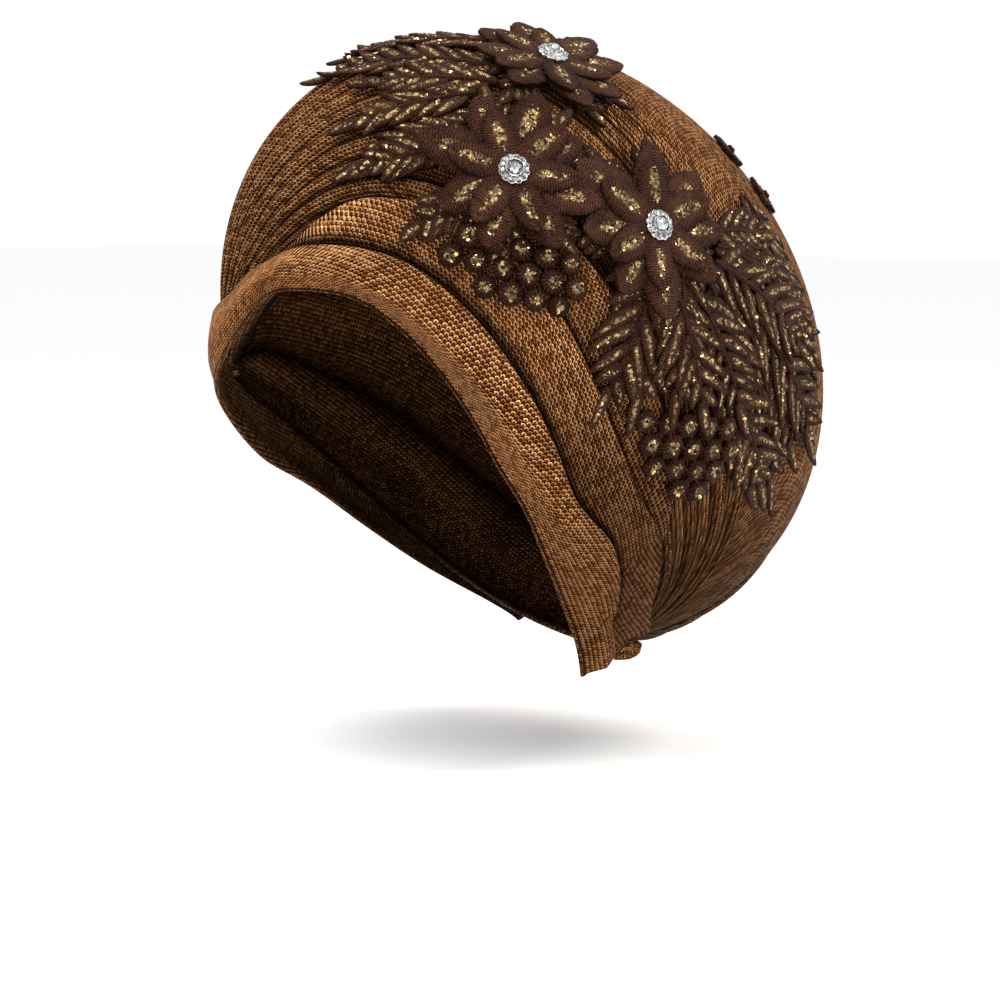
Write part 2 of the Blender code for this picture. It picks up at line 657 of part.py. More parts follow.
def make_tuck():
    """A rolled end of cloth below the nape gather, flattened and rounded at both ends."""
    frame = seat_frame(NAPE_GATHER)
    view, right, up, distance = frame
    heading = math.radians(TUCK_HEADING)
    along = right * math.cos(heading) + up * math.sin(heading)
    across = view.cross(along)
    middle = NAPE_GATHER + view * (TUCK_DEPTH / 2 + TUCK_CLEARANCE)
    points = [middle - along * TUCK_LENGTH / 2]
    for ring in range(1, TUCK_RINGS):
        place = -math.cos(math.pi * ring / TUCK_RINGS)
        swell = math.sin(math.pi * ring / TUCK_RINGS) ** TUCK_FULLNESS
        for side in range(TUCK_SIDES):
            angle = 2 * math.pi * side / TUCK_SIDES
            points.append(middle + along * (place * TUCK_LENGTH / 2)
                          + across * (math.cos(angle) * TUCK_WIDTH / 2 * swell)
                          + view * (math.sin(angle) * TUCK_DEPTH / 2 * swell))
    points.append(middle + along * TUCK_LENGTH / 2)
    last = len(points) - 1
    faces = []
    for side in range(TUCK_SIDES):
        after = (side + 1) % TUCK_SIDES
        faces.append((0, 1 + after, 1 + side))
        for ring in range(TUCK_RINGS - 2):
            start = 1 + ring * TUCK_SIDES
            faces.append((start + side, start + after, start + TUCK_SIDES + after, start + TUCK_SIDES + side))
        start = 1 + (TUCK_RINGS - 2) * TUCK_SIDES
        faces.append((start + side, start + after, last))
    return build_object("tail_tuck", points, faces, WRAP_FINISH)


def turned_body(name, seat, view, right, rings, finish):
    """A body of rings about the view line; a ring is a list of (radius, height) at equal angles."""
    up = view.cross(right)
    around = len(rings[0])
    points = []
    for ring in rings:
        for step, (radius, height) in enumerate(ring):
            angle = 2 * math.pi * step / around
            points.append(seat + view * height + (right * math.cos(angle) + up * math.sin(angle)) * radius)
    faces = []
    for ring in range(len(rings) - 1):
        for step in range(around):
            after = (step + 1) % around
            start = ring * around
            faces.append((start + step, start + after, start + around + after, start + around + step))
    faces.append(tuple(reversed(range(around))))
    faces.append(tuple(range((len(rings) - 1) * around, len(rings) * around)))
    return build_object(name, points, faces, finish)


def make_button(place, flower):
    """A lobed setting with a ring of small stones and a bezel, and its centre stone."""
    name, turn, slide, length, petals, roll, lift = FLOWERS[flower]
    point = crown_point(turn, slide)
    view = envelope_normal(point)
    seat = point + view * (lift + FLOWER_WALL + BUTTON_CLEARANCE)
    right = (Vector((0, 0, 1)).cross(view)).normalized()
    around = 2 * BUTTON_LOBES
    cup_radius = STONE_RADIUS + STONE_CLEARANCE
    rim_radius = cup_radius + BEZEL_WALL
    stone_ring = (rim_radius + BUTTON_RADIUS) / 2
    bezel_top = BUTTON_BASE + BEZEL_RISE
    rings = [[(BUTTON_RADIUS - LOBE_DEPTH * (step % 2), 0) for step in range(around)],
             [(BUTTON_RADIUS - LOBE_DEPTH * (step % 2), BUTTON_BASE) for step in range(around)],
             [(stone_ring, BUTTON_BASE + RING_STONE_RISE * (1 - step % 2)) for step in range(around)],
             [(rim_radius, bezel_top)] * around,
             [(cup_radius, bezel_top)] * around,
             [(cup_radius, BUTTON_BASE)] * around]
    turned_body("button_setting_" + place, seat, view, right, rings, SILVER_FINISH)
    stone_seat = seat + view * (BUTTON_BASE + STONE_CLEARANCE)
    girdle = STONE_HEIGHT * STONE_GIRDLE_SHARE
    table = STONE_RADIUS * STONE_TABLE_SHARE
    stone_rings = [[(STONE_RADIUS, 0)] * STONE_SIDES,
                   [(STONE_RADIUS, girdle)] * STONE_SIDES,
                   [(table, STONE_HEIGHT)] * STONE_SIDES]
    turned_body("button_stone_" + place, stone_seat, view, right, stone_rings, STONE_FINISH)


def main():
    for obj in list(bpy.data.objects):
        bpy.data.objects.remove(obj, do_unlink=True)
    make_crown()
    make_wrap("side_fold", SIDE_FOLD, SIDE_FOLD_ROWS, LAYER_GAP, LAYER_GAP)
    make_wrap("upper_wrap", UPPER_WRAP, UPPER_WRAP_ROWS, LAYER_GAP, UPPER_TOP_LIFT)
    make_wrap("lower_wrap", LOWER_WRAP, LOWER_WRAP_ROWS, LOWER_LIFT, LOWER_LIFT)
    make_tuck()
    for row in FLOWERS:
        make_flower(*row)
    for row in SPRAYS:
        make_spray(*row)
    for row in DISC_LACES:
        make_disc_lace(*row)
    for row in BUTTONS:
        make_button(*row)


main()
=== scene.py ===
import json
import math

import bmesh
import bpy
import numpy as np
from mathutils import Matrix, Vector
from mathutils.kdtree import KDTree

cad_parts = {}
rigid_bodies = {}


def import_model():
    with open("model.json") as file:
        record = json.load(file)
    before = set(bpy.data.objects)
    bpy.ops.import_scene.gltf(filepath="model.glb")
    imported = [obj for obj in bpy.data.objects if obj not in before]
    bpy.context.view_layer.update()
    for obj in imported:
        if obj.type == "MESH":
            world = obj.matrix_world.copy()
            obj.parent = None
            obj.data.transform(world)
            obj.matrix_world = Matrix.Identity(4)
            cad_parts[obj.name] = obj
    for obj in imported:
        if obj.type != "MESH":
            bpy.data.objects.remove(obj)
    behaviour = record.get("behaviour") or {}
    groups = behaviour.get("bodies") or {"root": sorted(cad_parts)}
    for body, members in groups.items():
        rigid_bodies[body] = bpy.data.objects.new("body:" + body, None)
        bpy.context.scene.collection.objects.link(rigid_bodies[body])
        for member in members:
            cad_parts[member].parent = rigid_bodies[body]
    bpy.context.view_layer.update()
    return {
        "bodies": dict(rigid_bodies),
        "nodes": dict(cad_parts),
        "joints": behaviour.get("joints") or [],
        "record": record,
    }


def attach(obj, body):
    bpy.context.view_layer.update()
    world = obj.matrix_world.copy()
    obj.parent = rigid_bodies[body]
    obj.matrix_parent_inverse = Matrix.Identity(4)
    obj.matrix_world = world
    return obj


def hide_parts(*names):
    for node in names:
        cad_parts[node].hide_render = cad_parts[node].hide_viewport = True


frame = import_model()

mm = 0.001


# Camera, floor and light

cameraLook = {
    "place": (0.9750, -1.1338, 0.1194),
    "back": (0.6403, -0.7631, 0.0872),      # from the tie towards the camera
    "lens": 143.1,
    "floorHeight": -0.110,
    "floorReach": 6.0,
    "floorColour": (0.96, 0.96, 0.96, 1),
    "lampAim": (0.01, 0.02, 0.04),
    "lamps": (                                  # name, place, power, size, colour
        ("keyLamp", (0.10, -0.70, 1.00), 11.0, 0.5, (1, 0.98, 0.95)),
        ("fillLamp", (1.1, -0.35, 0.35), 1.2, 0.9, (1, 1, 1)),
        ("rimLamp", (0.75, 0.55, 1.0), 11.0, 0.5, (1, 0.97, 0.92)),
    ),
    "worldGrey": 1.0,
    "worldStrength": 1.0,
}


def linked(name, data):
    obj = bpy.data.objects.new(name, data)
    bpy.context.scene.collection.objects.link(obj)
    return obj


def aimAt(obj, place, target):
    obj.location = Vector(place)
    obj.rotation_mode = "QUATERNION"
    obj.rotation_quaternion = (Vector(target) - Vector(place)).to_track_quat("-Z", "Y")


def addLamp(name, place, target, power, size, colour):
    lamp = bpy.data.lights.new(name, "AREA")
    lamp.energy = power
    lamp.size = size
    lamp.color = colour
    aimAt(linked(name, lamp), place, target)


def setStage(look):
    camera = linked("camera", bpy.data.cameras.new("camera"))
    camera.data.lens = look["lens"]
    camera.data.sensor_width = 36
    place = Vector(look["place"])
    aimAt(camera, place, place - Vector(look["back"]))
    camera.data.clip_end = 50
    bpy.context.scene.camera = camera

    reach, z = look["floorReach"], look["floorHeight"]
    mesh = bpy.data.meshes.new("floor")
    mesh.from_pydata([(-reach, -reach, z), (reach, -reach, z), (reach, reach, z), (-reach, reach, z)],
                     [], [(0, 1, 2, 3)])
    floor = linked("floor", mesh)
    paint = bpy.data.materials.new("paleFloor")
    paint.use_nodes = True
    shader = paint.node_tree.nodes["Principled BSDF"]
    shader.inputs["Base Color"].default_value = look["floorColour"]
    shader.inputs["Roughness"].default_value = 0.9
    mesh.materials.append(paint)

    for name, place, power, size, colour in look["lamps"]:
        addLamp(name, place, look["lampAim"], power, size, colour)

    world = bpy.data.worlds.new("studio")
    world.use_nodes = True
    background = world.node_tree.nodes["Background"]
    grey = look["worldGrey"]
    background.inputs["Color"].default_value = (grey, grey, grey, 1)
    background.inputs["Strength"].default_value = look["worldStrength"]
    bpy.context.scene.world = world
    bpy.context.scene.view_settings.view_transform = "Standard"


setStage(cameraLook)
print("stage set")


# Shader maths: a Wire is one output of a node, and sums of wires add their Math nodes

class Wire:
    def __init__(self, tree, socket=None):
        self.tree = tree
        self.socket = socket

    def node(self, kind, settings=(), inputs=(), out=0):
        made = self.tree.nodes.new(kind)
        for key, value in dict(settings).items():
            if key == "stops":
                ramp = made.color_ramp
                while len(ramp.elements) < len(value):
                    ramp.elements.new(0.5)
                for element, (place, colour) in zip(ramp.elements, value):
                    element.position = place
                    element.color = colour
            else:
                setattr(made, key, value)
        for key, value in dict(inputs).items():
            if isinstance(value, Wire):
                self.tree.links.new(value.socket, made.inputs[key])
            else:
                made.inputs[key].default_value = value
        return Wire(self.tree, made.outputs[out])

    def maths(self, operation, *values, clamp=False):
        return self.node("ShaderNodeMath", {"operation": operation, "use_clamp": clamp},
                         dict(enumerate((self,) + values)))

    def __add__(self, other):
        return self.maths("ADD", other)

    def __radd__(self, other):
        return self.maths("ADD", other)

    def __sub__(self, other):
        return self.maths("SUBTRACT", other)

    def __rsub__(self, other):
        return self.node("ShaderNodeMath", {"operation": "SUBTRACT"}, {0: other, 1: self})

    def __mul__(self, other):
        return self.maths("MULTIPLY", other)

    def __rmul__(self, other):
        return self.maths("MULTIPLY", other)

    def __truediv__(self, other):
        return self.maths("DIVIDE", other)

    def __pow__(self, other):
        return self.maths("POWER", other)

    def smooth(self, low, high):
        return self.node("ShaderNodeMapRange", {"interpolation_type": "SMOOTHSTEP"},
                         {"Value": self, "From Min": low, "From Max": high})

    def mixed(self, low, high):
        return self.node("ShaderNodeMix", {"data_type": "RGBA"}, {0: self, 6: low, 7: high}, out=2)


def newMaterial(name):
    material = bpy.data.materials.new(name)
    material.use_nodes = True
    return material, Wire(material.node_tree), material.node_tree.nodes["Principled BSDF"]


def noise(place, scale, detail, dimensions="3D"):
    return place.node("ShaderNodeTexNoise", {"noise_dimensions": dimensions},
                      {"Vector": place, "Scale": scale, "Detail": detail})


def cellColours(place, scale):
    cells = place.node("ShaderNodeTexVoronoi", {"feature": "F1"}, {"Vector": place, "Scale": scale}, out=1)
    return place.node("ShaderNodeSeparateColor", {}, {0: cells})


def attribute(start, name):
    return start.node("ShaderNodeAttribute", {"attribute_name": name}, out=2)


def weaveMap(start):
    # the piece's own UV map, whole and as its two lengths in metres
    uv = start.node("ShaderNodeUVMap", {"uv_map": "weave"})
    parts = start.node("ShaderNodeSeparateXYZ", {}, {0: uv}).socket.node
    return uv, Wire(start.tree, parts.outputs[0]), Wire(start.tree, parts.outputs[1])


def feed(shader, sockets):
    for name, value in sockets.items():
        if isinstance(value, Wire):
            value.tree.links.new(value.socket, shader.inputs[name])
        else:
            shader.inputs[name].default_value = value


# The shape that all cloth lies on: an oval puff, and pleats that run between two gathers

puff = {
    "halves": (106 * mm, 141 * mm, 105.5 * mm),
    "centre": (11 * mm, 31 * mm, 45 * mm),
    "lean": 35.4,
    "turn": 4.8,
    "templeAim": (-70.3, -89.1, -7.9),
    "napeAim": (34.7, 14.9, -110.0),
}


def unit(vector):
    vector = np.asarray(vector, float)
    return vector / np.linalg.norm(vector, axis=-1, keepdims=True)


def puffAxes():
    turn, lean = math.radians(puff["turn"]), math.radians(puff["lean"])
    spin = np.array([[math.cos(turn), -math.sin(turn), 0], [math.sin(turn), math.cos(turn), 0], [0, 0, 1]])
    along = (0, math.cos(lean), -math.sin(lean))
    upward = (0, math.sin(lean), math.cos(lean))
    return np.array([spin @ (1, 0, 0), spin @ along, spin @ upward])


axes = puffAxes()
halves = np.array(puff["halves"])
centre = np.array(puff["centre"])


def scaled(vector, lift=0.0):
    return (np.asarray(vector) @ axes.T) / (halves + np.asarray(lift)[..., None])


def reachPuff(start, heading, lift=0.0):
    offset, step = scaled(start - centre, lift), scaled(heading, lift)
    a = (step * step).sum(-1)
    b = 2 * (offset * step).sum(-1)
    c = (offset * offset).sum(-1) - 1
    inside = b * b - 4 * a * c
    return np.where(inside < 0, np.nan, (np.sqrt(np.maximum(inside, 0)) - b) / (2 * a))


def puffNormal(point):
    return unit((scaled(point - centre) / halves) @ axes)


def puffPoint(aim, lift=0.0):
    heading = unit(aim)
    point = centre + heading * reachPuff(centre, heading)[..., None]
    return point + puffNormal(point) * np.asarray(lift)[..., None]


templeGather = puffPoint(np.array(puff["templeAim"]))
napeGather = puffPoint(np.array(puff["napeAim"]))
gatherMiddle = (templeGather + napeGather) / 2
gatherLine = unit(napeGather - templeGather)
toCentre = centre - gatherMiddle
gatherUp = unit(toCentre - gatherLine * (toCentre @ gatherLine))
gatherSide = np.cross(gatherLine, gatherUp)


def crownPoint(turn, slide, lift=0.0):
    turn, slide = np.radians(np.asarray(turn, float)), np.radians(np.asarray(slide, float))
    away = gatherUp * np.sin(turn)[..., None] + gatherSide * np.cos(turn)[..., None]
    heading = gatherLine * np.cos(slide)[..., None] + away * np.sin(slide)[..., None]
    point = gatherMiddle + heading * reachPuff(gatherMiddle, heading)[..., None]
    return point + puffNormal(point) * np.asarray(lift)[..., None]


def smooth(share):
    share = np.clip(share, 0, 1)
    return share * share * (3 - 2 * share)


def lineTurn(turns, slide, crownPlace=0.33, napePlace=0.75):
    temple, crown, nape = turns
    passed = (180 - np.asarray(slide, float)) / 180
    first = temple + (crown - temple) * smooth(passed / crownPlace)
    second = crown + (nape - crown) * smooth((passed - crownPlace) / (napePlace - crownPlace))
    return np.where(passed < crownPlace, first, second)


# Meshes from grids of points

def gridQuads(start, rows, columns, wrap=False):
    wide = columns if wrap else columns - 1
    r, c = np.meshgrid(np.arange(rows - 1), np.arange(wide), indexing="ij")
    after = (c + 1) % columns
    first = start + r * columns
    return np.stack([first + c, first + after, first + columns + after, first + columns + c], -1).reshape(-1, 4)


def makePiece(name, points, faces, uv=None, values=(), material=None, smoothAngle=None):
    mesh = bpy.data.meshes.new(name)
    mesh.from_pydata(np.asarray(points).tolist(), [], [tuple(int(i) for i in face) for face in faces])
    mesh.update()
    if uv is not None:
        layer = mesh.uv_layers.new(name="weave")
        corners = np.zeros(len(mesh.loops), np.int32)
        mesh.loops.foreach_get("vertex_index", corners)
        layer.data.foreach_set("uv", np.asarray(uv, np.float32)[corners].ravel())
    for key, numbers in dict(values).items():
        mesh.attributes.new(key, "FLOAT", "POINT").data.foreach_set("value", np.asarray(numbers, np.float32).ravel())
    mesh.shade_smooth()
    if smoothAngle:
        mesh.set_sharp_from_angle(angle=math.radians(smoothAngle))
    if material:
        mesh.materials.append(material)
    return linked(name, mesh)


def outwardFaces(points, faces):
    # a closed shell's faces, turned round where the sign of its volume says that they point in
    points = np.asarray(points)
    volume = 0.0
    for face in faces[:: max(1, len(faces) // 200000)]:
        a = points[face[0]]
        for i in range(1, len(face) - 1):
            volume += a @ np.cross(points[face[i]], points[face[i + 1]])
    return faces if volume > 0 else [face[::-1] for face in faces]


# Cloth finish: gold loops in a dark brown ground, laid in offset rows along the cloth

weaveLook = {
    "ground": (0.0060, 0.0015, 0.0006, 1),
    "groundLight": (0.018, 0.0050, 0.0015, 1),
    "gold": (0.21, 0.065, 0.019, 1),
    "goldPale": (0.95, 0.475, 0.19, 1),
    # shadow: the colour that the painted shade darkens to
    "shadow": (0.0012, 0.0004, 0.0002, 1),
    "edgeTint": (0.42, 0.20, 0.07, 1),          # what grazing light takes on
    "loopRadius": 0.33,                         # share of a loop's cell
    "threadWidth": 0.24,
    "stripeWidth": 0.26,                        # where loops stretch over a folded edge
    "stripeLean": 90.0,
    "stripeBright": 1.40,
    "bumpDepth": 0.62 * mm,
    "goldMetal": 0.50,
    "goldRoughness": 0.34,
    "groundRoughness": 0.70,
    "unevenRows": 0.16,
    "unevenScale": 240.0,
    "patchScale": 24.0,
}


def clothMaterial(name, look, alongPitch, acrossPitch, slant, tone=1.0):
    material, start, shader = newMaterial(name)
    uv, x, y = weaveMap(start)
    edge, crease = attribute(start, "edge"), attribute(start, "crease")
    wobble = noise(uv, look["unevenScale"], 1.0, "2D")
    v = y / acrossPitch + (wobble - 0.5) * look["unevenRows"]
    row = v.maths("FLOOR")
    u = x / alongPitch + v * slant + row * (0.5 - slant) + (wobble - 0.5) * look["unevenRows"]
    column = u.maths("FLOOR")
    fx, fy = u - column - 0.5, v - row - 0.5
    away = (fx * fx + fy * fy) ** 0.5
    ring = 1 - (away - look["loopRadius"]).maths("ABSOLUTE").smooth(0.0, look["threadWidth"])
    over = (fx * 0.62 + fy * 0.78).smooth(-0.40, 0.22)    # a loop's far side comes up over the next row and its near side dips under the ground; the raised side is also painted brighter, a painted highlight
    stripePlace = (x / alongPitch + y * look["stripeLean"]).maths("FRACT")
    stripe = 1 - (stripePlace - 0.5).maths("ABSOLUTE").smooth(look["stripeWidth"] * 0.25, look["stripeWidth"])
    cell = start.node("ShaderNodeCombineXYZ", {}, {0: column, 1: row})
    chance = start.node("ShaderNodeTexWhiteNoise", {"noise_dimensions": "2D"}, {"Vector": cell})
    patch = noise(uv, look["patchScale"], 2.0, "2D")
    shown = ring * (0.18 + 0.82 * over) * (0.55 + 0.75 * chance)
    shown = shown + edge * (stripe * look["stripeBright"] - shown)
    height = shown * (0.8 + 0.3 * chance)
    lit = shown * (0.72 + 0.56 * patch) * tone
    # painted highlight: the raised side of each loop is mixed towards pale gold, together with random paler loops and
    # the stretched edge
    gold = (over * 0.55 + chance * 0.55 + edge * 0.4).smooth(0.35, 1.15).mixed(look["gold"], look["goldPale"])
    ground = patch.smooth(0.3, 0.7).mixed(look["ground"], look["groundLight"])
    colour = lit.maths("MULTIPLY", 1.0, clamp=True).mixed(ground, gold)
    # painted shade: creases, the insides and low edges of the wraps, and cloth close under other layers darken towards
    # the shadow colour and lose their metal
    colour = crease.mixed(colour, look["shadow"])
    bump = start.node("ShaderNodeBump", {}, {"Strength": 1.0, "Distance": look["bumpDepth"], "Height": height})
    feed(shader, {
        "Base Color": colour,
        "Metallic": lit.maths("MULTIPLY", look["goldMetal"], clamp=True) * (1 - crease),
        "Roughness": look["groundRoughness"] - lit * (look["groundRoughness"] - look["goldRoughness"]),
        "Normal": bump,
        "Specular IOR Level": 0.02,
        "Specular Tint": look["edgeTint"],
    })
    return material


pleatCloth = clothMaterial("pleatCloth", weaveLook, 1.65 * mm, 1.75 * mm, 0.55, 0.88)
bandCloth = clothMaterial("bandCloth", weaveLook, 1.95 * mm, 1.85 * mm, 0.14, 1.50)


# Crown: rope-like pleats fanned from the temple gather, a broad smooth fold, broad folds behind

crownLook = {
    "nearEdge": (2, 22, 10),
    "folds": (                                  # folds, fold height, turns of the far edge
        (11, 3.2 * mm, (62, 66, 48)),
        (1, 3.6 * mm, (84, 104, 108)),
        (4, 2.6 * mm, (182, 180, 186)),
    ),
    "columnsInFold": (14, 70, 26),
    "crowding": 1.6,
    "firstSlide": 174.0,
    "lastSlide": 3.5,
    "rows": 190,
    "innerRows": 60,
    "wall": 1.8 * mm,
    "gatherReach": 50 * mm,
    "unevenness": 0.16,                         # how far fold widths stray from even
    "creaseDeepening": 3.0 * mm,
    # creaseDark: how dark the painted shade in the creases gets
    "creaseDark": 0.96,
    "creaseSpread": 0.38,                       # how wide the painted shade of a crease lies, as a share of its fold
    "creaseNarrowest": 0.85 * mm,
    "creaseWidest": 3.0 * mm,
    "creaseSharpness": 2.2,
    "roundness": 0.6,
    "merge": 0.9,                               # every other crease of the fan closes towards the nape
    "mergeFrom": 0.55,
    "mergeOver": 0.25,
    "napeShade": 0.50,                          # low on the left side the cloth lies in its own shade
    "napeShadeFrom": 15 * mm,
    "napeShadeFade": 55 * mm,
    "napeSide": 10 * mm,
    "napeSideFade": 40 * mm,
}


def crownColumns(look, inner):
    rng = np.random.default_rng(7)
    turns, sunk, crease, sideways, merging = [], [], [], [], []
    near = look["nearEdge"]
    for index, (folds, height, far) in enumerate(look["folds"]):
        steps = look["columnsInFold"][index]
        if inner:
            steps = max(2, steps // 6)
        power = look["crowding"] if index == 0 else 1.0
        shifts = np.concatenate([[0], rng.uniform(-1, 1, max(folds - 1, 0)), [0]]) * look["unevenness"]
        edges = np.arange(folds + 1) + shifts
        for fold in range(folds):
            for step in range(steps):
                place = step / steps
                share = (edges[fold] + (edges[fold + 1] - edges[fold]) * place) / folds
                turns.append([near[0] + (far[0] - near[0]) * share ** power,
                              near[1] + (far[1] - near[1]) * share,
                              near[2] + (far[2] - near[2]) * share])
                hump = math.sin(math.pi * place) ** look["roundness"]
                sunk.append(height * (1 - hump))
                crease.append(1 - hump)
                sideways.append(place - 0.5)
                merging.append(index == 0 and (fold + (place > 0.5)) % 2 == 1)
        near = far
    turns.append(list(near))
    sunk.append(look["folds"][-1][1])
    crease.append(1.0)
    sideways.append(0.5)
    merging.append(False)
    return np.array(turns), np.array(sunk), np.array(crease), np.array(sideways), np.array(merging, float)


def crownSheet(look, inner):
    turns, sunk, crease, sideways, merging = crownColumns(look, inner)
    rows = look["innerRows"] if inner else look["rows"]
    slide = np.linspace(look["firstSlide"], look["lastSlide"], rows)[:, None] * np.ones(len(turns))
    turn = lineTurn((turns[:, 0], turns[:, 1], turns[:, 2]), slide)
    base = crownPoint(turn, slide)
    offset = base - gatherMiddle
    fromLine = np.linalg.norm(offset - (offset @ gatherLine)[..., None] * gatherLine, axis=-1)
    depth = np.minimum(1, fromLine / look["gatherReach"])
    passed = (180 - slide) / 180
    kept = 1 - merging * look["merge"] * smooth((passed - look["mergeFrom"]) / look["mergeOver"])
    depth = depth * kept
    sink = sunk * depth + look["creaseDeepening"] * crease ** 2 * depth + (look["wall"] if inner else 0.0)
    points = base - puffNormal(base) * sink[..., None]
    along = np.linalg.norm(np.diff(points, axis=0, prepend=points[:1]), axis=-1)
    along = np.cumsum(along, 0)
    across = np.linalg.norm(np.diff(points, axis=1, prepend=points[:, :1]), axis=-1)
    across = np.cumsum(across, 1)
    foldNumber = np.cumsum(np.concatenate([[0], (np.diff(sideways) < 0).astype(int)]))
    local, creaseShades = np.empty_like(across), np.zeros_like(across)
    for number in range(foldNumber.max() + 1):
        inFold = np.flatnonzero(foldNumber == number)
        middle = inFold[len(inFold) // 2]
        local[:, inFold] = across[:, inFold] - across[:, middle:middle + 1]
        first, last = inFold[0], min(inFold[-1] + 1, across.shape[1] - 1)
        width = (across[:, last] - across[:, first])[:, None]
        here = across[:, inFold]
        fromEdge = np.minimum(here - across[:, first:first + 1], across[:, last:last + 1] - here)
        # painted shade: each fold darkens towards the creases at its sides
        dark = np.clip(width * look["creaseSpread"], look["creaseNarrowest"], look["creaseWidest"])
        creaseShades[:, inFold] = np.exp(-(fromEdge / dark) ** look["creaseSharpness"]) * look["creaseDark"]
    creaseShades = creaseShades * kept
    low = smooth((look["napeShadeFrom"] - points[:, :, 2]) / look["napeShadeFade"])
    low = low * smooth((points[:, :, 0] + look["napeSide"]) / look["napeSideFade"])
    creaseShades = np.maximum(creaseShades, look["napeShade"] * low)
    uv = np.stack([along + foldNumber * 0.0317, local + foldNumber * 0.0113], -1)
    return points, uv, creaseShades


def layCrown(look):
    outer, outerUv, outerCreaseShade = crownSheet(look, False)
    inner, innerUv, innerCreaseShade = crownSheet(look, True)
    rows, wide = outer.shape[:2]
    innerRows, narrow = inner.shape[:2]
    points = np.concatenate([outer.reshape(-1, 3), inner.reshape(-1, 3)])
    start = rows * wide
    faces = gridQuads(0, rows, wide).tolist()
    faces += [face[::-1] for face in gridQuads(start, innerRows, narrow).tolist()]
    near, far = 0, wide - 1
    faces += [face[::-1] for face in strip(list(range(wide)), list(range(start, start + narrow)))]
    faces += strip([(rows - 1) * wide + i for i in range(wide)],
                   [start + (innerRows - 1) * narrow + i for i in range(narrow)])
    faces += strip([r * wide for r in range(rows)], [start + r * narrow for r in range(innerRows)])
    faces += [face[::-1] for face in strip([r * wide + far for r in range(rows)],
                                           [start + r * narrow + narrow - 1 for r in range(innerRows)])]
    faces = outwardFaces(points, faces)
    uv = np.concatenate([outerUv.reshape(-1, 2), innerUv.reshape(-1, 2)])
    crease = np.concatenate([outerCreaseShade.ravel(), innerCreaseShade.ravel()])
    return makePiece("pleatedCloth", points, faces, uv, {"crease": crease, "edge": crease * 0}, pleatCloth)


def strip(first, second):
    # triangles between two lines of point numbers that may differ in count
    faces, i, j = [], 0, 0
    lastI, lastJ = len(first) - 1, len(second) - 1
    while i < lastI or j < lastJ:
        if j == lastJ or (i < lastI and (i + 1) * lastJ <= (j + 1) * lastI):
            faces.append([first[i], first[i + 1], second[j]])
            i += 1
        else:
            faces.append([first[i], second[j + 1], second[j]])
            j += 1
    return faces


crownCloth = layCrown(crownLook)
print("crown laid:", len(crownCloth.data.polygons), "faces")


# Wraps: three ribbons over the crown, each with soft folded edges

headOpening = {"halfWidth": 72 * mm, "halfLength": 96 * mm, "napeDrop": 75 * mm, "narrowing": 0.26, "standoff": 3 * mm}

wrapLook = {
    "wall": 2.2 * mm,
    "bulge": 1.2 * mm,
    "gap": 0.4 * mm,
    "roll": 1.3 * mm,
    "unit": 100 * mm,
    "curlShare": 0.45,
    "across": 44,
    "rollSteps": 5,
    "edgeStretch": 12.0 * mm,                   # width of the zone where the loops stretch over the fold
    "stretchEnds": (18 * mm, 38 * mm),          # the stretch fades out over this length towards the left side
    "napeTighter": 0.55,                        # how much closer the loops lie at the nape
    "tighterFrom": 0.05,
    "tighterOver": 0.4,
    "ripple": 0.25 * mm,
    "waves": 5,
    "shadeFade": 60 * mm,
    "insideShade": 0.5,
    "lowEdgeShade": 0.85,
    "lowEdgeShare": 0.06,
}
wrapLook["upperTopLift"] = wrapLook["wall"] + wrapLook["bulge"] + 2 * wrapLook["gap"]
wrapLook["lowerLift"] = (wrapLook["gap"] + (wrapLook["upperTopLift"] - wrapLook["gap"]) * 0.3
                         + 4 * wrapLook["bulge"] * 0.3 * 0.7 + wrapLook["wall"] + wrapLook["gap"])

# low azimuth, low height, top azimuth, top height, stacking of the upper edge, curl of the lower edge
lowerWrapRows = (
    (98, -0.74, 106, -0.67, 1.0, 1.0),
    (91, -0.62, 100, -0.55, 1.0, 1.0),
    (80, -0.46, 92, -0.43, 1.0, 1.0),
    (69, -0.27, 80, -0.22, 1.0, 1.0),
    (61, -0.10, 68, -0.05, 1.0, 1.0),
    (53, 0.06, 61, 0.15, 1.0, 1.0),
    (46, 0.24, 54, 0.37, 1.0, 1.0),
    (38, 0.42, 46, 0.58, 1.0, 1.0),
    (29, 0.58, 38, 0.73, 1.0, 1.0),
    (20, 0.68, 30, 0.82, 1.0, 1.0),
    (10, 0.71, 20, 0.86, 1.0, 1.0),
    (0, 0.69, 9, 0.85, 1.0, 1.0),
    (-8, 0.58, -2, 0.77, 0.8, 1.0),
    (-18, 0.46, -12, 0.68, 0.2, 1.0),
    (-30, 0.36, -26, 0.60, 0.1, 1.0),
    (-48, 0.22, -47, 0.46, 0.1, 1.0),
    (-70, 0.04, -70, 0.32, 0.1, 1.0),
    (-92, -0.10, -92, 0.18, 0.1, 0.9),
    (-114, -0.28, -114, -0.02, 0.15, 0.5),
    (-136, -0.48, -136, -0.27, 0.15, 0.15),
    (-158, -0.66, -158, -0.50, 0.15, 0.0),
)
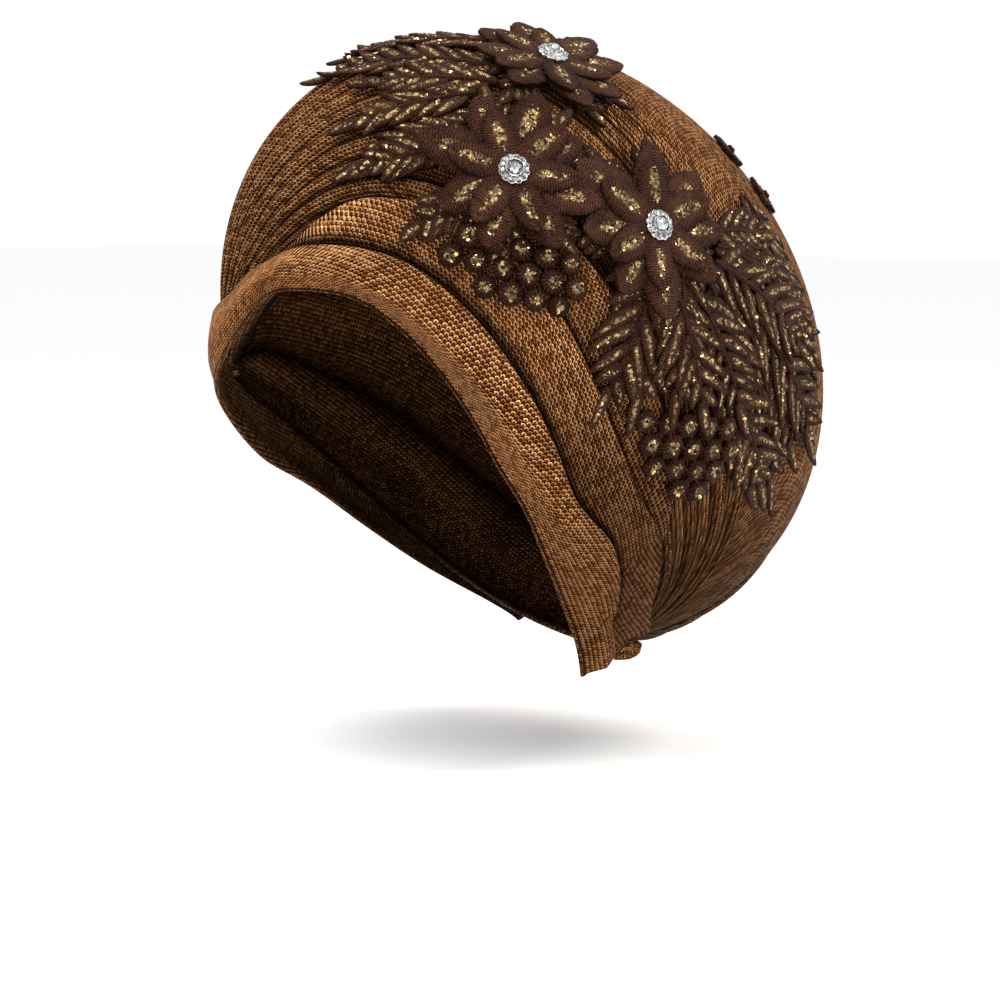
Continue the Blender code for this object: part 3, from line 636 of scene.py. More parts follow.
upperWrapRows = (
    (-1, 0.74, 1, 0.80, 0.0, 0.0),
    (7, 0.77, 8, 0.875, 0.2, 0.0),
    (14, 0.79, 14, 0.95, 0.6, 0.0),
    (21, 0.79, 22, 1.015, 1.0, 0.0),
    (28, 0.76, 30, 1.02, 1.0, 0.0),
    (35, 0.69, 38, 0.99, 1.0, 0.0),
    (43, 0.57, 48, 0.87, 1.0, 0.0),
    (51, 0.38, 57, 0.71, 1.0, 0.0),
    (58, 0.16, 65, 0.45, 1.0, 0.0),
    (66, -0.07, 73, 0.18, 1.0, 0.0),
    (76, -0.25, 81, -0.03, 1.0, 0.0),
    (87, -0.42, 90, -0.18, 1.0, 0.0),
    (96, -0.53, 99, -0.37, 1.0, 0.0),
    (104, -0.61, 107, -0.50, 1.0, 0.0),
    (113, -0.665, 119, -0.61, 1.0, 0.0),
)
sideFoldRows = (
    (44, 0.84, 50, 1.00, 0.0, 0.0),
    (51, 0.70, 60, 0.92, 0.0, 0.0),
    (58, 0.52, 69, 0.74, 0.0, 0.0),
    (65, 0.28, 77, 0.50, 0.0, 0.0),
    (72, 0.07, 84, 0.22, 0.0, 0.0),
    (79, -0.08, 90, 0.00, 0.0, 0.0),
    (86, -0.21, 94, -0.16, 0.0, 0.0),
    (89, -0.26, 95, -0.22, 0.0, 0.0),
)


def headRadius(azimuth, height):
    angle = np.radians(azimuth)
    oval = 1 / np.hypot(np.sin(angle) / headOpening["halfWidth"], np.cos(angle) / headOpening["halfLength"])
    drop = np.clip(-height / headOpening["napeDrop"], 0, 1)
    return oval * (1 - headOpening["narrowing"] * drop) + headOpening["standoff"]


def wrapPoint(azimuth, height, lift, wall, over):
    angle = np.radians(azimuth)
    heading = np.stack([np.sin(angle), -np.cos(angle), np.zeros_like(angle)], -1)
    axisPoint = np.stack([np.zeros_like(height), np.zeros_like(height), height], -1)
    onHead = headRadius(azimuth, height) + lift * over + wall
    onCrown = np.nan_to_num(reachPuff(axisPoint, heading, lift + wall), nan=0.0)
    radius = onHead + (np.maximum(onHead, onCrown) - onHead) * over
    return axisPoint + heading * radius[..., None]


def smoothRows(table, count):
    # the table's rows on a smooth curve, count of them
    table = np.array(table, float)
    place = np.linspace(0, len(table) - 1, count)
    index = np.minimum(place.astype(int), len(table) - 2)
    t = (place - index)[:, None]
    a, b = table[np.maximum(index - 1, 0)], table[index]
    c, d = table[index + 1], table[np.minimum(index + 2, len(table) - 1)]
    return b + t * ((c - a) + t * ((2 * a - 5 * b + 4 * c - d) + t * (3 * b - a - 3 * c + d))) / 2


def wrapSheet(edges, share, wall, lowLift, topLift, ripple=0.0):
    look = wrapLook
    low, lowHeight, top, topHeight, layers, curl = edges.T[:, :, None]
    azimuth = low + (top - low) * share
    height = (lowHeight + (topHeight - lowHeight) * share) * look["unit"]
    held = np.clip(share, 0, 1)
    stacked = look["gap"] + (lowLift + (topLift - lowLift) * held - look["gap"]) * layers
    over = 1 - curl * (1 - smooth(held / look["curlShare"]))
    lift = stacked + look["bulge"] * 4 * held * (1 - held) + ripple
    return wrapPoint(azimuth, height, lift, wall, over)


def layWrap(name, table, count, lowLift, topLift, seed, shade, shadeFrom):
    look = wrapLook
    edges = smoothRows(table, count)
    span = np.linalg.norm(wrapSheet(edges, np.array([1.0]), 0, lowLift, topLift)
                          - wrapSheet(edges, np.array([0.0]), 0, lowLift, topLift), axis=-1)
    roll = look["roll"] / np.maximum(span, look["roll"])
    shares = np.linspace(0, 1, look["across"])
    rng = np.random.default_rng(seed)
    along = np.linspace(0, 1, count)[:, None]
    ripple = np.zeros((count, look["across"]))
    for _ in range(look["waves"]):
        ripple += np.sin(along * rng.uniform(6, 22) + shares * rng.uniform(3, 9) + rng.uniform(0, 6.3))
    ripple *= look["ripple"] / 3 * np.sin(np.pi * shares) ** 0.5
    bends = np.linspace(0, math.pi, look["rollSteps"] + 2)[1:-1]
    parts = [wrapSheet(edges, shares, look["wall"], lowLift, topLift, ripple)]
    for bend in bends:
        depth = look["wall"] * (1 + math.cos(bend)) / 2
        parts.append(wrapSheet(edges, 1 + roll * math.sin(bend), depth, lowLift, topLift))
    parts.append(wrapSheet(edges, shares[::-1], 0.0, lowLift, topLift))
    for bend in bends:
        depth = look["wall"] * (1 - math.cos(bend)) / 2
        parts.append(wrapSheet(edges, -roll * math.sin(bend), depth, lowLift, topLift))
    points = np.concatenate(parts, axis=1)
    around = points.shape[1]
    faces = [face[::-1] for face in gridQuads(0, count, around, wrap=True).tolist()]
    wide, steps = look["across"], look["rollSteps"]
    for start, turned in ((0, False), ((count - 1) * around, True)):
        outer = [start + i for i in range(wide)] + [start + wide + i for i in range(steps)]
        inner = [start + around - 1 - i for i in range(steps)]
        inner += [start + 2 * wide + steps - 1 - i for i in range(wide)]
        cap = strip(outer, inner)
        faces += cap if turned else [face[::-1] for face in cap]
    faces = outwardFaces(points.reshape(-1, 3), faces)
    step = np.linalg.norm(np.diff(points, axis=1, prepend=points[:, :1]), axis=-1)
    place = np.concatenate([shares, np.ones(steps), shares[::-1], np.zeros(steps)])
    onFace = np.arange(around) < wide + steps
    fromTop = (1 - place)[None, :] * span
    stretched = 1 - smooth((points[:, :, 0] - look["stretchEnds"][0]) / look["stretchEnds"][1])
    edge = (1 - smooth(fromTop / look["edgeStretch"])) * onFace * stretched
    across = np.cumsum(step, 1)
    middle = points[:, wide // 2]
    walked = np.linalg.norm(np.diff(middle, axis=0, prepend=middle[:1]), axis=-1)
    tighter = 1 + look["napeTighter"] * smooth((-middle[:, 2] / look["unit"] - look["tighterFrom"]) / look["tighterOver"])
    length = np.cumsum(walked * tighter)
    uv = np.stack([np.broadcast_to(length[:, None], across.shape), across], -1)
    # painted shade: the inside of the wrap, its low edge and the cloth low down towards the nape are darkened
    crease = np.zeros((count, around))
    crease[:, wide + steps:] = look["insideShade"]
    crease[:, :wide] = look["lowEdgeShade"] * (1 - smooth(shares / look["lowEdgeShare"]))
    crease = np.maximum(crease, shade * smooth((shadeFrom - points[:, :, 2]) / look["shadeFade"]))
    values = {"crease": crease, "edge": edge}
    return makePiece(name, points.reshape(-1, 3), faces, uv.reshape(-1, 2), values, bandCloth)


def shadeNear(obj, lines, reach, depth):
    # painted shade: darken cloth close to the edges of the layer above it, where that layer casts its shadow
    points = np.concatenate(lines)
    tree = KDTree(len(points))
    for index, point in enumerate(points):
        tree.insert(point, index)
    tree.balance()
    crease = obj.data.attributes["crease"].data
    for vertex in obj.data.vertices:
        away = tree.find(vertex.co)[2]
        if away < 3 * reach:
            shade = depth * math.exp(-(away / reach) ** 4)
            crease[vertex.index].value = max(crease[vertex.index].value, shade)


def topEdge(table, lowLift, topLift):
    return wrapSheet(smoothRows(table, 240), np.array([1.0]), wrapLook["wall"] * 0.5, lowLift, topLift)[:, 0]


upperLift, lowerLift, gap = wrapLook["upperTopLift"], wrapLook["lowerLift"], wrapLook["gap"]
sideCloth = layWrap("sideFoldCloth", sideFoldRows, 120, gap, gap, 3, 0.58, 55 * mm)
upperCloth = layWrap("upperWrapCloth", upperWrapRows, 260, gap, upperLift, 5, 0.58, 55 * mm)
lowerCloth = layWrap("lowerWrapCloth", lowerWrapRows, 420, lowerLift, lowerLift, 9, 0.25, 20 * mm)
lowerEdge = topEdge(lowerWrapRows, lowerLift, lowerLift)
upperEdge = topEdge(upperWrapRows, gap, upperLift)
sideEdge = topEdge(sideFoldRows, gap, gap)
layerShades = (                                 # cloth, edges that lie over it, reach and depth of their shade
    (upperCloth, [lowerEdge], 5.2 * mm, 0.98),
    (sideCloth, [upperEdge], 4.4 * mm, 0.97),
    (crownCloth, [lowerEdge, upperEdge, sideEdge], 5.0 * mm, 0.95),
)
for cloth, lines, reach, depth in layerShades:
    shadeNear(cloth, lines, reach, depth)
print("wraps laid")


# Lace: petals, leaflets and discs of satin stitch, laid over the cloth as closed shells

laceLook = {
    "stitchPitch": 0.85 * mm,
    "stitchDepth": 0.09 * mm,
    "stitchStray": 0.9,                         # how far a row of stitches wanders, in stitches
    "stitchSlant": 0.55,                        # how far a stitch leans from the middle to the edge
}
petalLook = {
    "along": 56, "across": 9, "wall": 1.0 * mm, "pad": 1.0 * mm, "groove": 0.7 * mm, "full": 0.52, "tipRound": 0.60,
    "glitterFrom": 0.22, "glitterTo": 0.82, "glitterWidth": 0.95,
}
leafletLook = {
    "along": 26, "across": 7, "wall": 0.8 * mm, "pad": 0.8 * mm, "groove": 0.35 * mm, "full": 0.42, "tipRound": 0.72,
    "glitterFrom": 0.12, "glitterTo": 0.88, "glitterWidth": 0.85,
}


def circle(count):
    return np.linspace(0, 2 * np.pi, count, endpoint=False)


def seatFrame(turn, slide):
    view = crownPoint(turn, slide) - centre
    distance = np.linalg.norm(view)
    view = view / distance
    up = unit(np.array([0, 0, 1]) - view * view[2])
    return view, np.cross(up, view), up, distance


def onCrown(frame, x, y, lift):
    view, right, up, distance = frame
    length = np.maximum(np.hypot(x, y), 1e-9)
    angle = (length / distance)[..., None]
    away = (right * x[..., None] + up * y[..., None]) / length[..., None]
    return puffPoint(view * np.cos(angle) + away * np.sin(angle), lift)


class Patchwork:
    # gathers closed shells into one mesh, and the strips that carry glitter into another
    def __init__(self):
        self.points, self.faces, self.uv, self.values = [], [], [], []
        self.bedPoints, self.bedFaces = [], []
        self.count = self.bedCount = 0

    def add(self, points, faces, uv, values):
        points = points.reshape(-1, 3)
        self.points.append(points)
        self.uv.append(uv.reshape(-1, 2))
        self.values.append(values.reshape(-1, 3))
        self.faces += [[self.count + i for i in face] for face in faces]
        self.count += len(points)

    def addBed(self, grid):
        rows, columns = grid.shape[:2]
        self.bedFaces += gridQuads(self.bedCount, rows, columns).tolist()
        self.bedPoints.append(grid.reshape(-1, 3))
        self.bedCount += rows * columns

    def piece(self, name, material):
        values = np.concatenate(self.values)
        named = {"tone": values[:, 0], "edge": values[:, 1], "glitter": values[:, 2]}
        points = np.concatenate(self.points)
        return makePiece(name, points, self.faces, np.concatenate(self.uv), named, material, 50)


def shellFaces(rows, around):
    faces = gridQuads(0, rows, around, wrap=True).tolist()
    last = (rows - 1) * around
    half = around // 2
    ends = strip(list(range(half + 1)), [0] + list(range(around - 1, half - 1, -1)))
    faces += [face for face in ends if len(set(face)) == 3]
    closing = strip([last + i for i in range(half + 1)], [last] + [last + i for i in range(around - 1, half - 1, -1)])
    faces += [face[::-1] for face in closing if len(set(face)) == 3]
    return faces


def layBlade(work, frame, root, angle, length, width, lift, look, curl=0.0, bend=0.0, tone=0.5, shift=0.0):
    # a petal or leaflet: it swells and closes to its tip, stitches run from a sunken middle to both edges
    t = np.linspace(0.0, 1.0, look["along"])[:, None]
    side = np.linspace(-1, 1, look["across"])[None, :]
    swell = (t * 0.93 + 0.07) ** look["full"] * np.maximum(1 - t, 0.0008) ** look["tipRound"]
    swell = swell / swell.max()
    wander = laceLook["stitchStray"] * np.sin(t * 9 + side * 2.2 + shift * 40)
    phase = 2 * np.pi * (t * length / laceLook["stitchPitch"] - np.abs(side) * laceLook["stitchSlant"] * 2) + wander
    half = width / 2 * swell
    frayed = np.sin(t * 61 + shift * 90 + side) * np.sin(t * 23 + shift * 50)
    reach = half * (1 + (0.06 * np.sin(phase) + 0.10 * frayed) * np.abs(side) ** 3)
    heading = angle + bend * t
    step = length / (look["along"] - 1)
    lineX = root[0] + np.cumsum(np.cos(heading) * step, 0) - np.cos(heading[0]) * step
    lineY = root[1] + np.cumsum(np.sin(heading) * step, 0) - np.sin(heading[0]) * step
    x = lineX - np.sin(heading) * side * reach
    y = lineY + np.cos(heading) * side * reach
    dome = np.sqrt(np.maximum(1 - side ** 2 * 0.94, 0)) * np.sqrt(swell)
    middle = np.exp(-(side / 0.20) ** 2) * smooth(t / 0.12) * smooth((1 - t) / 0.12)
    stitches = laceLook["stitchDepth"] * np.sin(phase) * dome * (1 - middle)
    sway = curl * t ** 2
    top = lift + look["wall"] + sway + look["pad"] * dome - look["groove"] * middle + stitches
    under = np.array([1.0, 0.0, -1.0])[None, :]
    low = lift + sway + np.zeros_like(t * under)
    lowX = lineX - np.sin(heading) * under * half
    lowY = lineY + np.cos(heading) * under * half
    points = np.concatenate([onCrown(frame, x, y, top), onCrown(frame, lowX, lowY, low)], axis=1)
    acrossAll = np.concatenate([side * half, under * half], axis=1)
    uv = np.stack([t * length + shift + acrossAll * 0, acrossAll], -1)
    window = smooth((t - look["glitterFrom"]) / 0.1) * smooth((look["glitterTo"] - t) / 0.1)
    shine = np.concatenate([np.exp(-(side / 0.42) ** 2) * window, under * window * 0], axis=1)
    # edge: rises to the rims and is full on the underside; the lace finish turns it into painted shade
    edge = np.concatenate([np.abs(side) ** 3 + t * 0, np.ones((look["along"], 3))], axis=1)
    values = np.stack([np.full(edge.shape, tone), edge, shine], -1)
    work.add(points, shellFaces(look["along"], look["across"] + 3), uv, values)
    keep = (t[:, 0] > look["glitterFrom"]) & (t[:, 0] < look["glitterTo"])
    columns = np.abs(side[0]) < 0.4
    bed = points[:, :look["across"]][keep][:, columns][::4]
    spine = bed[:, bed.shape[1] // 2][:, None]
    work.addBed(spine + (bed - spine) * look["glitterWidth"])


def layDisc(work, frame, x, y, radius, dome, lift, petals=0, tone=0.5):
    # a small stitched disc, or a floret with scalloped edge when it has petals
    rings, around = np.array([0.0, 0.18, 0.36, 0.56, 0.76, 0.92, 1.0, 1.0, 0.5, 0.0]), 24
    height = np.array([0.55, 0.7, 0.9, 1.0, 0.8, 0.5, 0.2, -0.6, -0.6, -0.6]) * dome
    angle = circle(around)[None, :]
    scallop = 1 - 0.16 * np.abs(np.sin(petals * angle / 2)) if petals else 1 + 0.03 * np.cos(12 * angle)
    ring = np.maximum(rings[:, None], 0.004) * radius * scallop
    stitched = 0.12 * mm * np.cos(12 * angle) * np.sin(np.pi * np.minimum(rings, 0.99))[:, None]
    stitched[7:] = 0
    raised = lift + height[:, None] + 0.6 * dome + stitched
    points = onCrown(frame, x + ring * np.cos(angle), y + ring * np.sin(angle), raised)
    faces = [face[::-1] for face in gridQuads(0, len(rings), around, wrap=True).tolist()]
    faces += [list(range(around)), [(len(rings) - 1) * around + i for i in range(around)][::-1]]
    uv = np.stack([angle / (2 * np.pi) * 16 * laceLook["stitchPitch"] + ring * 0, ring * 0.3 + angle * 0], -1)
    # edge: rises to the rim of the disc; the lace finish turns it into painted shade
    edge = np.broadcast_to(np.minimum(rings, 1)[:, None] ** 2, ring.shape)
    values = np.stack([np.full(ring.shape, tone), edge, np.exp(-(ring / radius / 0.5) ** 2)], -1)
    work.add(points, faces, uv, values)
    work.addBed(points[1:4, [0, 3, 6, 9, 12, 15, 18, 21, 0]])


def layBar(work, frame, start, end, width, lift, tone=0.4):
    # a cord between two places on the lace
    steps, sides = 7, 6
    place = np.linspace(0, 1, steps)[:, None]
    turn = circle(sides)[None, :]
    run = np.array(end) - np.array(start)
    aside = np.array([-run[1], run[0]]) / np.hypot(*run)
    x = start[0] + run[0] * place + aside[0] * np.cos(turn) * width / 2
    y = start[1] + run[1] * place + aside[1] * np.cos(turn) * width / 2
    points = onCrown(frame, x, y, lift + width / 2 * (1 + np.sin(turn)) + place * 0)
    uv = np.stack([place * np.hypot(*run) + turn * 0, turn * width / 6 + place * 0], -1)
    # the cords get an edge value that the lace finish turns into painted shade
    values = np.stack([np.full(x.shape, tone), np.full(x.shape, 0.4), np.zeros(x.shape)], -1)
    work.add(points, shellFaces(steps, sides), uv, values)


# Flowers: two rings of petals each, and small florets of one ring

flowerLook = {
    "petalWidth": 0.52,                         # share of the petal's length
    "upperLength": 0.80,
    "upperPetals": 6,
    "upperLift": 1.1 * mm,
    "rootDistance": 2.6 * mm,
    "cup": 1.6 * mm,
    "tipCurl": (0.3 * mm, 3.2 * mm),
    "angleStray": 5.0,
    "lengthStray": (0.86, 1.05),
    "leafRing": (7, 17 * mm, 4, 13 * mm, 2.4 * mm),   # fronds under a flower: count, stem, pairs, leaflet, depth
    "leafRingStart": 8 * mm,
}
flowerRows = (                                  # node, turn, slide, petal length, petals, roll, lift
    ("flower_top", 59.1, 109.8, 29 * mm, 8, 12.0, 2.6 * mm),
    ("flower_middle", 37.6, 109.0, 29 * mm, 8, 30.0, 9.5 * mm),
    ("flower_side", 44.0, 90.5, 31.5 * mm, 8, 4.0, 6.4 * mm),
    ("floret_upper", 77.0, 84.5, 8.5 * mm, 6, 0.0, -0.2 * mm),
    ("floret_lower", 77.0, 77.5, 8.5 * mm, 6, 20.0, -0.2 * mm),
)


def layFlower(work, turn, slide, length, petals, roll, lift, rng):
    look = flowerLook
    frame = seatFrame(turn, slide)
    small = length < 10 * mm
    rows = [(petals, 1.0, 0.0, roll)]
    if not small:
        rows.append((look["upperPetals"], look["upperLength"], look["upperLift"], roll + 180 / petals))
    for count, share, rise, start in rows:
        for index in range(count):
            angle = math.radians(start + 360 * index / count + rng.uniform(-1, 1) * look["angleStray"])
            reach = length * share * rng.uniform(*look["lengthStray"])
            root = look["rootDistance"] * (0.35 if small else 1.0)
            width = reach * (look["petalWidth"] if not small else 0.62)
            curl = look["cup"] * length / flowerRows[0][3] + (0 if small else rng.uniform(*look["tipCurl"]) * share)
            layBlade(work, frame, (root * math.cos(angle), root * math.sin(angle)), angle, reach - root, width,
                     lift + rise + rng.uniform(0, 0.35) * mm, petalLook, curl, rng.uniform(-0.16, 0.16),
                     rng.uniform(0.25, 0.8), rng.uniform(0, 0.3))
    if small:
        layDisc(work, frame, 0.0, 0.0, 1.7 * mm, 1.0 * mm, lift + 1.6 * mm, 0, 0.7)
        return
    fronds, stem, pairs, leaflet, below = look["leafRing"]
    for index in range(fronds):
        heading = roll + 360 * (index + 0.5) / fronds + rng.uniform(-8, 8)
        away = look["leafRingStart"]
        start = (away * math.cos(math.radians(heading)), away * math.sin(math.radians(heading)))
        layFrond(work, turn, slide, heading, rng.uniform(-12, 12), stem, pairs, leaflet, 40.0, 1.0 * mm,
                 max(lift - below, 0.4 * mm), rng, start)


# Sprays: a stem with leaflets on both sides

frondRows = {                                   # turn, slide, heading, bend, stem, pairs, leaflet, splay, curl, lift
    "spray_top": (
        (54.1, 114.2, 172.0, -6.0, 66 * mm, 9, 17 * mm, 36.0, 3.5 * mm, 0.4 * mm),
        (60.5, 115.5, 174.0, -4.0, 56 * mm, 8, 15 * mm, 34.0, 2.5 * mm, 0.6 * mm),
        (50.5, 114.6, -178.0, -8.0, 40 * mm, 6, 16 * mm, 36.0, 1.5 * mm, 1.6 * mm),
    ),
    "spray_left": (
        (45.0, 113.9, -152.0, -8.0, 46 * mm, 7, 17 * mm, 36.0, 1.0 * mm, 0.4 * mm),
        (47.6, 116.5, -160.0, -6.0, 40 * mm, 6, 16 * mm, 36.0, 1.0 * mm, 1.4 * mm),
        (39.5, 115.7, -166.0, 4.0, 30 * mm, 5, 15 * mm, 38.0, 1.0 * mm, 1.0 * mm),
        (33.2, 112.6, -148.0, 4.0, 17 * mm, 3, 13 * mm, 38.0, 1.0 * mm, 7.0 * mm),
    ),
    "spray_lower": (
        (41.4, 87.7, -94.0, -8.0, 44 * mm, 6, 25 * mm, 50.0, 0.5 * mm, 4.2 * mm),
        (44.5, 85.6, -88.0, -6.0, 46 * mm, 6, 22 * mm, 38.0, 0.5 * mm, 5.2 * mm),
        (39.0, 86.6, -112.0, -4.0, 38 * mm, 5, 22 * mm, 44.0, 0.5 * mm, 5.0 * mm),
        (41.0, 83.5, -68.0, -4.0, 42 * mm, 5, 22 * mm, 40.0, 0.5 * mm, 5.6 * mm),
    ),
    "spray_right": (
        (49.5, 78.6, -52.0, -14.0, 88 * mm, 9, 27 * mm, 50.0, 2.5 * mm, 0.4 * mm),
        (47.4, 81.3, -66.0, -4.0, 52 * mm, 6, 24 * mm, 44.0, 1.0 * mm, 2.2 * mm),
        (54.8, 77.8, -22.0, -20.0, 58 * mm, 6, 25 * mm, 44.0, 2.0 * mm, 1.4 * mm),
        (50.5, 74.6, -34.0, -16.0, 74 * mm, 8, 27 * mm, 48.0, 2.5 * mm, 2.0 * mm),
        (42.4, 70.4, -46.0, -12.0, 60 * mm, 7, 24 * mm, 46.0, 1.0 * mm, 1.6 * mm),
        (49.4, 80.5, -20.0, -16.0, 60 * mm, 7, 26 * mm, 46.0, 2.0 * mm, 2.8 * mm),
        (43.8, 80.9, -56.0, -6.0, 48 * mm, 6, 23 * mm, 46.0, 1.0 * mm, 4.2 * mm),
        (50.1, 69.6, -43.0, -12.0, 56 * mm, 7, 22 * mm, 44.0, 2.0 * mm, 1.0 * mm),
        (41.2, 64.5, -48.0, -8.0, 44 * mm, 6, 19 * mm, 42.0, 1.0 * mm, 1.2 * mm),
    ),
    "spray_edge": (
        (65.4, 80.9, -62.0, -16.0, 66 * mm, 9, 20 * mm, 42.0, 2.5 * mm, -0.2 * mm),
        (62.0, 78.5, -48.0, -18.0, 56 * mm, 8, 19 * mm, 36.0, 2.0 * mm, 1.2 * mm),
        (56.2, 70.4, -42.0, -12.0, 60 * mm, 8, 18 * mm, 40.0, 2.0 * mm, 0.4 * mm),
        (51.6, 81.2, -5.0, -10.0, 38 * mm, 6, 17 * mm, 38.0, 1.5 * mm, 1.8 * mm),
        (53.0, 82.4, 6.0, -8.0, 30 * mm, 5, 15 * mm, 38.0, 1.5 * mm, 2.4 * mm),
    ),
}
frondLook = {"stemWidth": 2.4 * mm, "leafletWidth": 5.2 * mm, "lean": 7.0, "tipLeaflet": 0.75, "start": 0.25}


def layFrond(work, turn, slide, heading, bend, stem, pairs, leaflet, splay, curl, lift, rng, start=(0.0, 0.0)):
    look = frondLook
    frame = seatFrame(turn, slide)
    x, y = start
    angle, step = math.radians(heading), stem / (2 * pairs)
    for station in range(2 * pairs):
        grown = math.sin(math.pi * (look["start"] + (1 - look["start"]) * (station // 2 + 0.5) / pairs)) ** 0.5
        side = 1 if station % 2 else -1
        aim = angle + side * math.radians(splay + rng.uniform(-1, 1) * look["lean"])
        size = leaflet * grown * rng.uniform(0.88, 1.08)
        layBlade(work, frame, (x, y), aim, size, look["leafletWidth"] * rng.uniform(0.9, 1.1),
                 lift + rng.uniform(0, 0.5) * mm, leafletLook,
                 curl * (station + 2) / (2 * pairs) * rng.uniform(0.4, 1.3),
                 -side * rng.uniform(0.05, 0.3), rng.uniform(0.1, 0.75), rng.uniform(0, 0.3))
        after = (x + math.cos(angle) * step, y + math.sin(angle) * step)
        width = look["stemWidth"] * (1 - 0.5 * station / (2 * pairs))
        layBar(work, frame, (x, y), after, width, lift + 0.3 * mm)
        x, y = after
        angle += math.radians(bend) / (2 * pairs)
    layBlade(work, frame, (x, y), angle, leaflet * look["tipLeaflet"], look["leafletWidth"], lift, leafletLook, curl,
             0.1, 0.5, 0.1)


# Disc lace: stitched berries over the upper wrap, and an open net of florets at the side

discRows = (   # node, turn, slide, heading, spacing, radius, dome, lift, petals, discs in each row, shift of each row
    ("berry_cluster", 30.0, 107.5, -12.0, 8.6 * mm, 4.2 * mm, 1.9 * mm, 6.8 * mm, 0, (5, 6, 4), (2, 1, 4)),
    ("floret_net", 33.8, 66.2, -8.0, 9.2 * mm, 4.9 * mm, 1.2 * mm, 4.2 * mm, 6, (5, 5, 4, 2), (0, 1, 2, 5)),
)


def layDiscs(work, turn, slide, heading, spacing, radius, dome, lift, petals, counts, shifts, rng):
    frame = seatFrame(turn, slide)
    cosine, sine = math.cos(math.radians(heading)), math.sin(math.radians(heading))
    seats = {}
    for row, (count, shift) in enumerate(zip(counts, shifts)):
        for index in range(count):
            steps = 2 * index + shift - counts[0] + 1
            flatX, flatY = steps * spacing / 2, -row * spacing * math.sqrt(3) / 2
            seats[(steps, row)] = (flatX * cosine - flatY * sine, flatX * sine + flatY * cosine)
    for (steps, row), (x, y) in seats.items():
        size = radius * rng.uniform(0.9, 1.06)
        layDisc(work, frame, x, y, size, dome, lift + rng.uniform(0, 0.4) * mm, petals, rng.uniform(0.1, 0.7))
        for other in ((steps + 2, row), (steps + 1, row + 1), (steps - 1, row + 1)):
            if other in seats:
                layBar(work, frame, (x, y), seats[other], 1.5 * mm, lift + 0.1 * mm)


# Lace finish: satin thread in ridges, fuzz, and a dull gold dust along each middle

threadLook = {
    "thread": (0.033, 0.0115, 0.0062, 1),
    "threadLight": (0.105, 0.043, 0.026, 1),
    "threadDark": (0.0040, 0.0012, 0.0008, 1),
    "dust": (0.16, 0.105, 0.046, 1),
    "dustBright": (0.60, 0.43, 0.20, 1),
    "edgeTint": (0.45, 0.30, 0.22, 1),
    "roughness": 0.62,
    "dustRoughness": 0.34,
    "fuzzDepth": 0.35 * mm,
    "fuzzScale": 1500.0,
    "patchScale": 130.0,
    "grainScale": 900.0,
}


def threadMaterial(name, look, dusty):
    material, start, shader = newMaterial(name)
    uv, x, y = weaveMap(start)
    place = start.node("ShaderNodeTexCoord", out=3)
    tone, edge, glitter = (attribute(start, key) for key in ("tone", "edge", "glitter"))
    fine = noise(place, look["fuzzScale"], 3.0)
    patch = noise(place, look["patchScale"], 3.0)
    leaned = x / laceLook["stitchPitch"] - y.maths("ABSOLUTE") * (laceLook["stitchSlant"] / (3.2 * mm))
    ridge = ((leaned + patch * 2.6 + fine * 0.55) * (2 * math.pi)).maths("SINE") * 0.5 + 0.5
    grain = cellColours(place, look["grainScale"])
    # painted shade: the stitch ridges are lighter and the grooves between them darker; fuzz, tone and patch vary the
    # thread's own colour
    lit = ridge * 0.42 + fine * 1.25 + tone * 0.35 + patch * 0.45 - 1.00
    colour = lit.smooth(0.0, 0.75).mixed(look["threadDark"], look["threadLight"])
    colour = start.node("ShaderNodeMix", {"data_type": "RGBA"}, {0: 0.30, 6: colour, 7: look["thread"]}, out=2)
    # painted shade: rims, undersides and cords of the lace darken towards threadDark by their edge value
    colour = (edge * 0.85 * (1 - fine * 0.5)).mixed(colour, look["threadDark"])
    dust = (glitter * dusty + patch * 0.5 - 0.35).smooth(0.25, 0.70) * grain.smooth(0.30, 0.60) * 0.9
    dustColour = grain.smooth(0.72, 0.97).mixed(look["dust"], look["dustBright"])
    colour = dust.mixed(colour, dustColour)
    bump = start.node("ShaderNodeBump", {}, {"Strength": 1.0, "Distance": look["fuzzDepth"],
                                             "Height": ridge * 0.4 + fine * 0.6 + dust * grain * 0.8})
    feed(shader, {
        "Base Color": colour,
        "Metallic": dust * 0.7,
        "Roughness": look["roughness"] - dust * (look["roughness"] - look["dustRoughness"]),
        "Normal": bump,
        "Specular IOR Level": 0.10,
        "Specular Tint": look["edgeTint"],
    })
    return material


petalThread = threadMaterial("petalThread", threadLook, 0.80)
leafThread = threadMaterial("leafThread", threadLook, 1.00)

lacePieces, beds = [], []
rng = np.random.default_rng(21)
for node, *row in flowerRows:
    work = Patchwork()
    layFlower(work, *row, rng)
    lacePieces.append((work.piece(node.replace("_", "") + "Lace", petalThread), node))
    beds.append(work)
for node, rows in frondRows.items():
    work = Patchwork()
    for row in rows:
        layFrond(work, *row, rng)
    lacePieces.append((work.piece(node.replace("_", "") + "Lace", leafThread), node))
    beds.append(work)
for node, *row in discRows:
    work = Patchwork()
    layDiscs(work, *row, rng)
    lacePieces.append((work.piece(node.replace("_", "") + "Lace", leafThread), node))
    beds.append(work)
print("lace laid:", sum(len(piece.data.polygons) for piece, node in lacePieces), "faces")


# Tucked end: a small roll of the same cloth under the nape gather, creased along its length

tuckLook = {
    "length": 17 * mm, "width": 12 * mm, "depth": 8 * mm, "heading": -38.0, "clearance": 0.4 * mm,
    "fullness": 0.7, "folds": 5, "foldDepth": 0.13, "rings": 40, "around": 80,
}


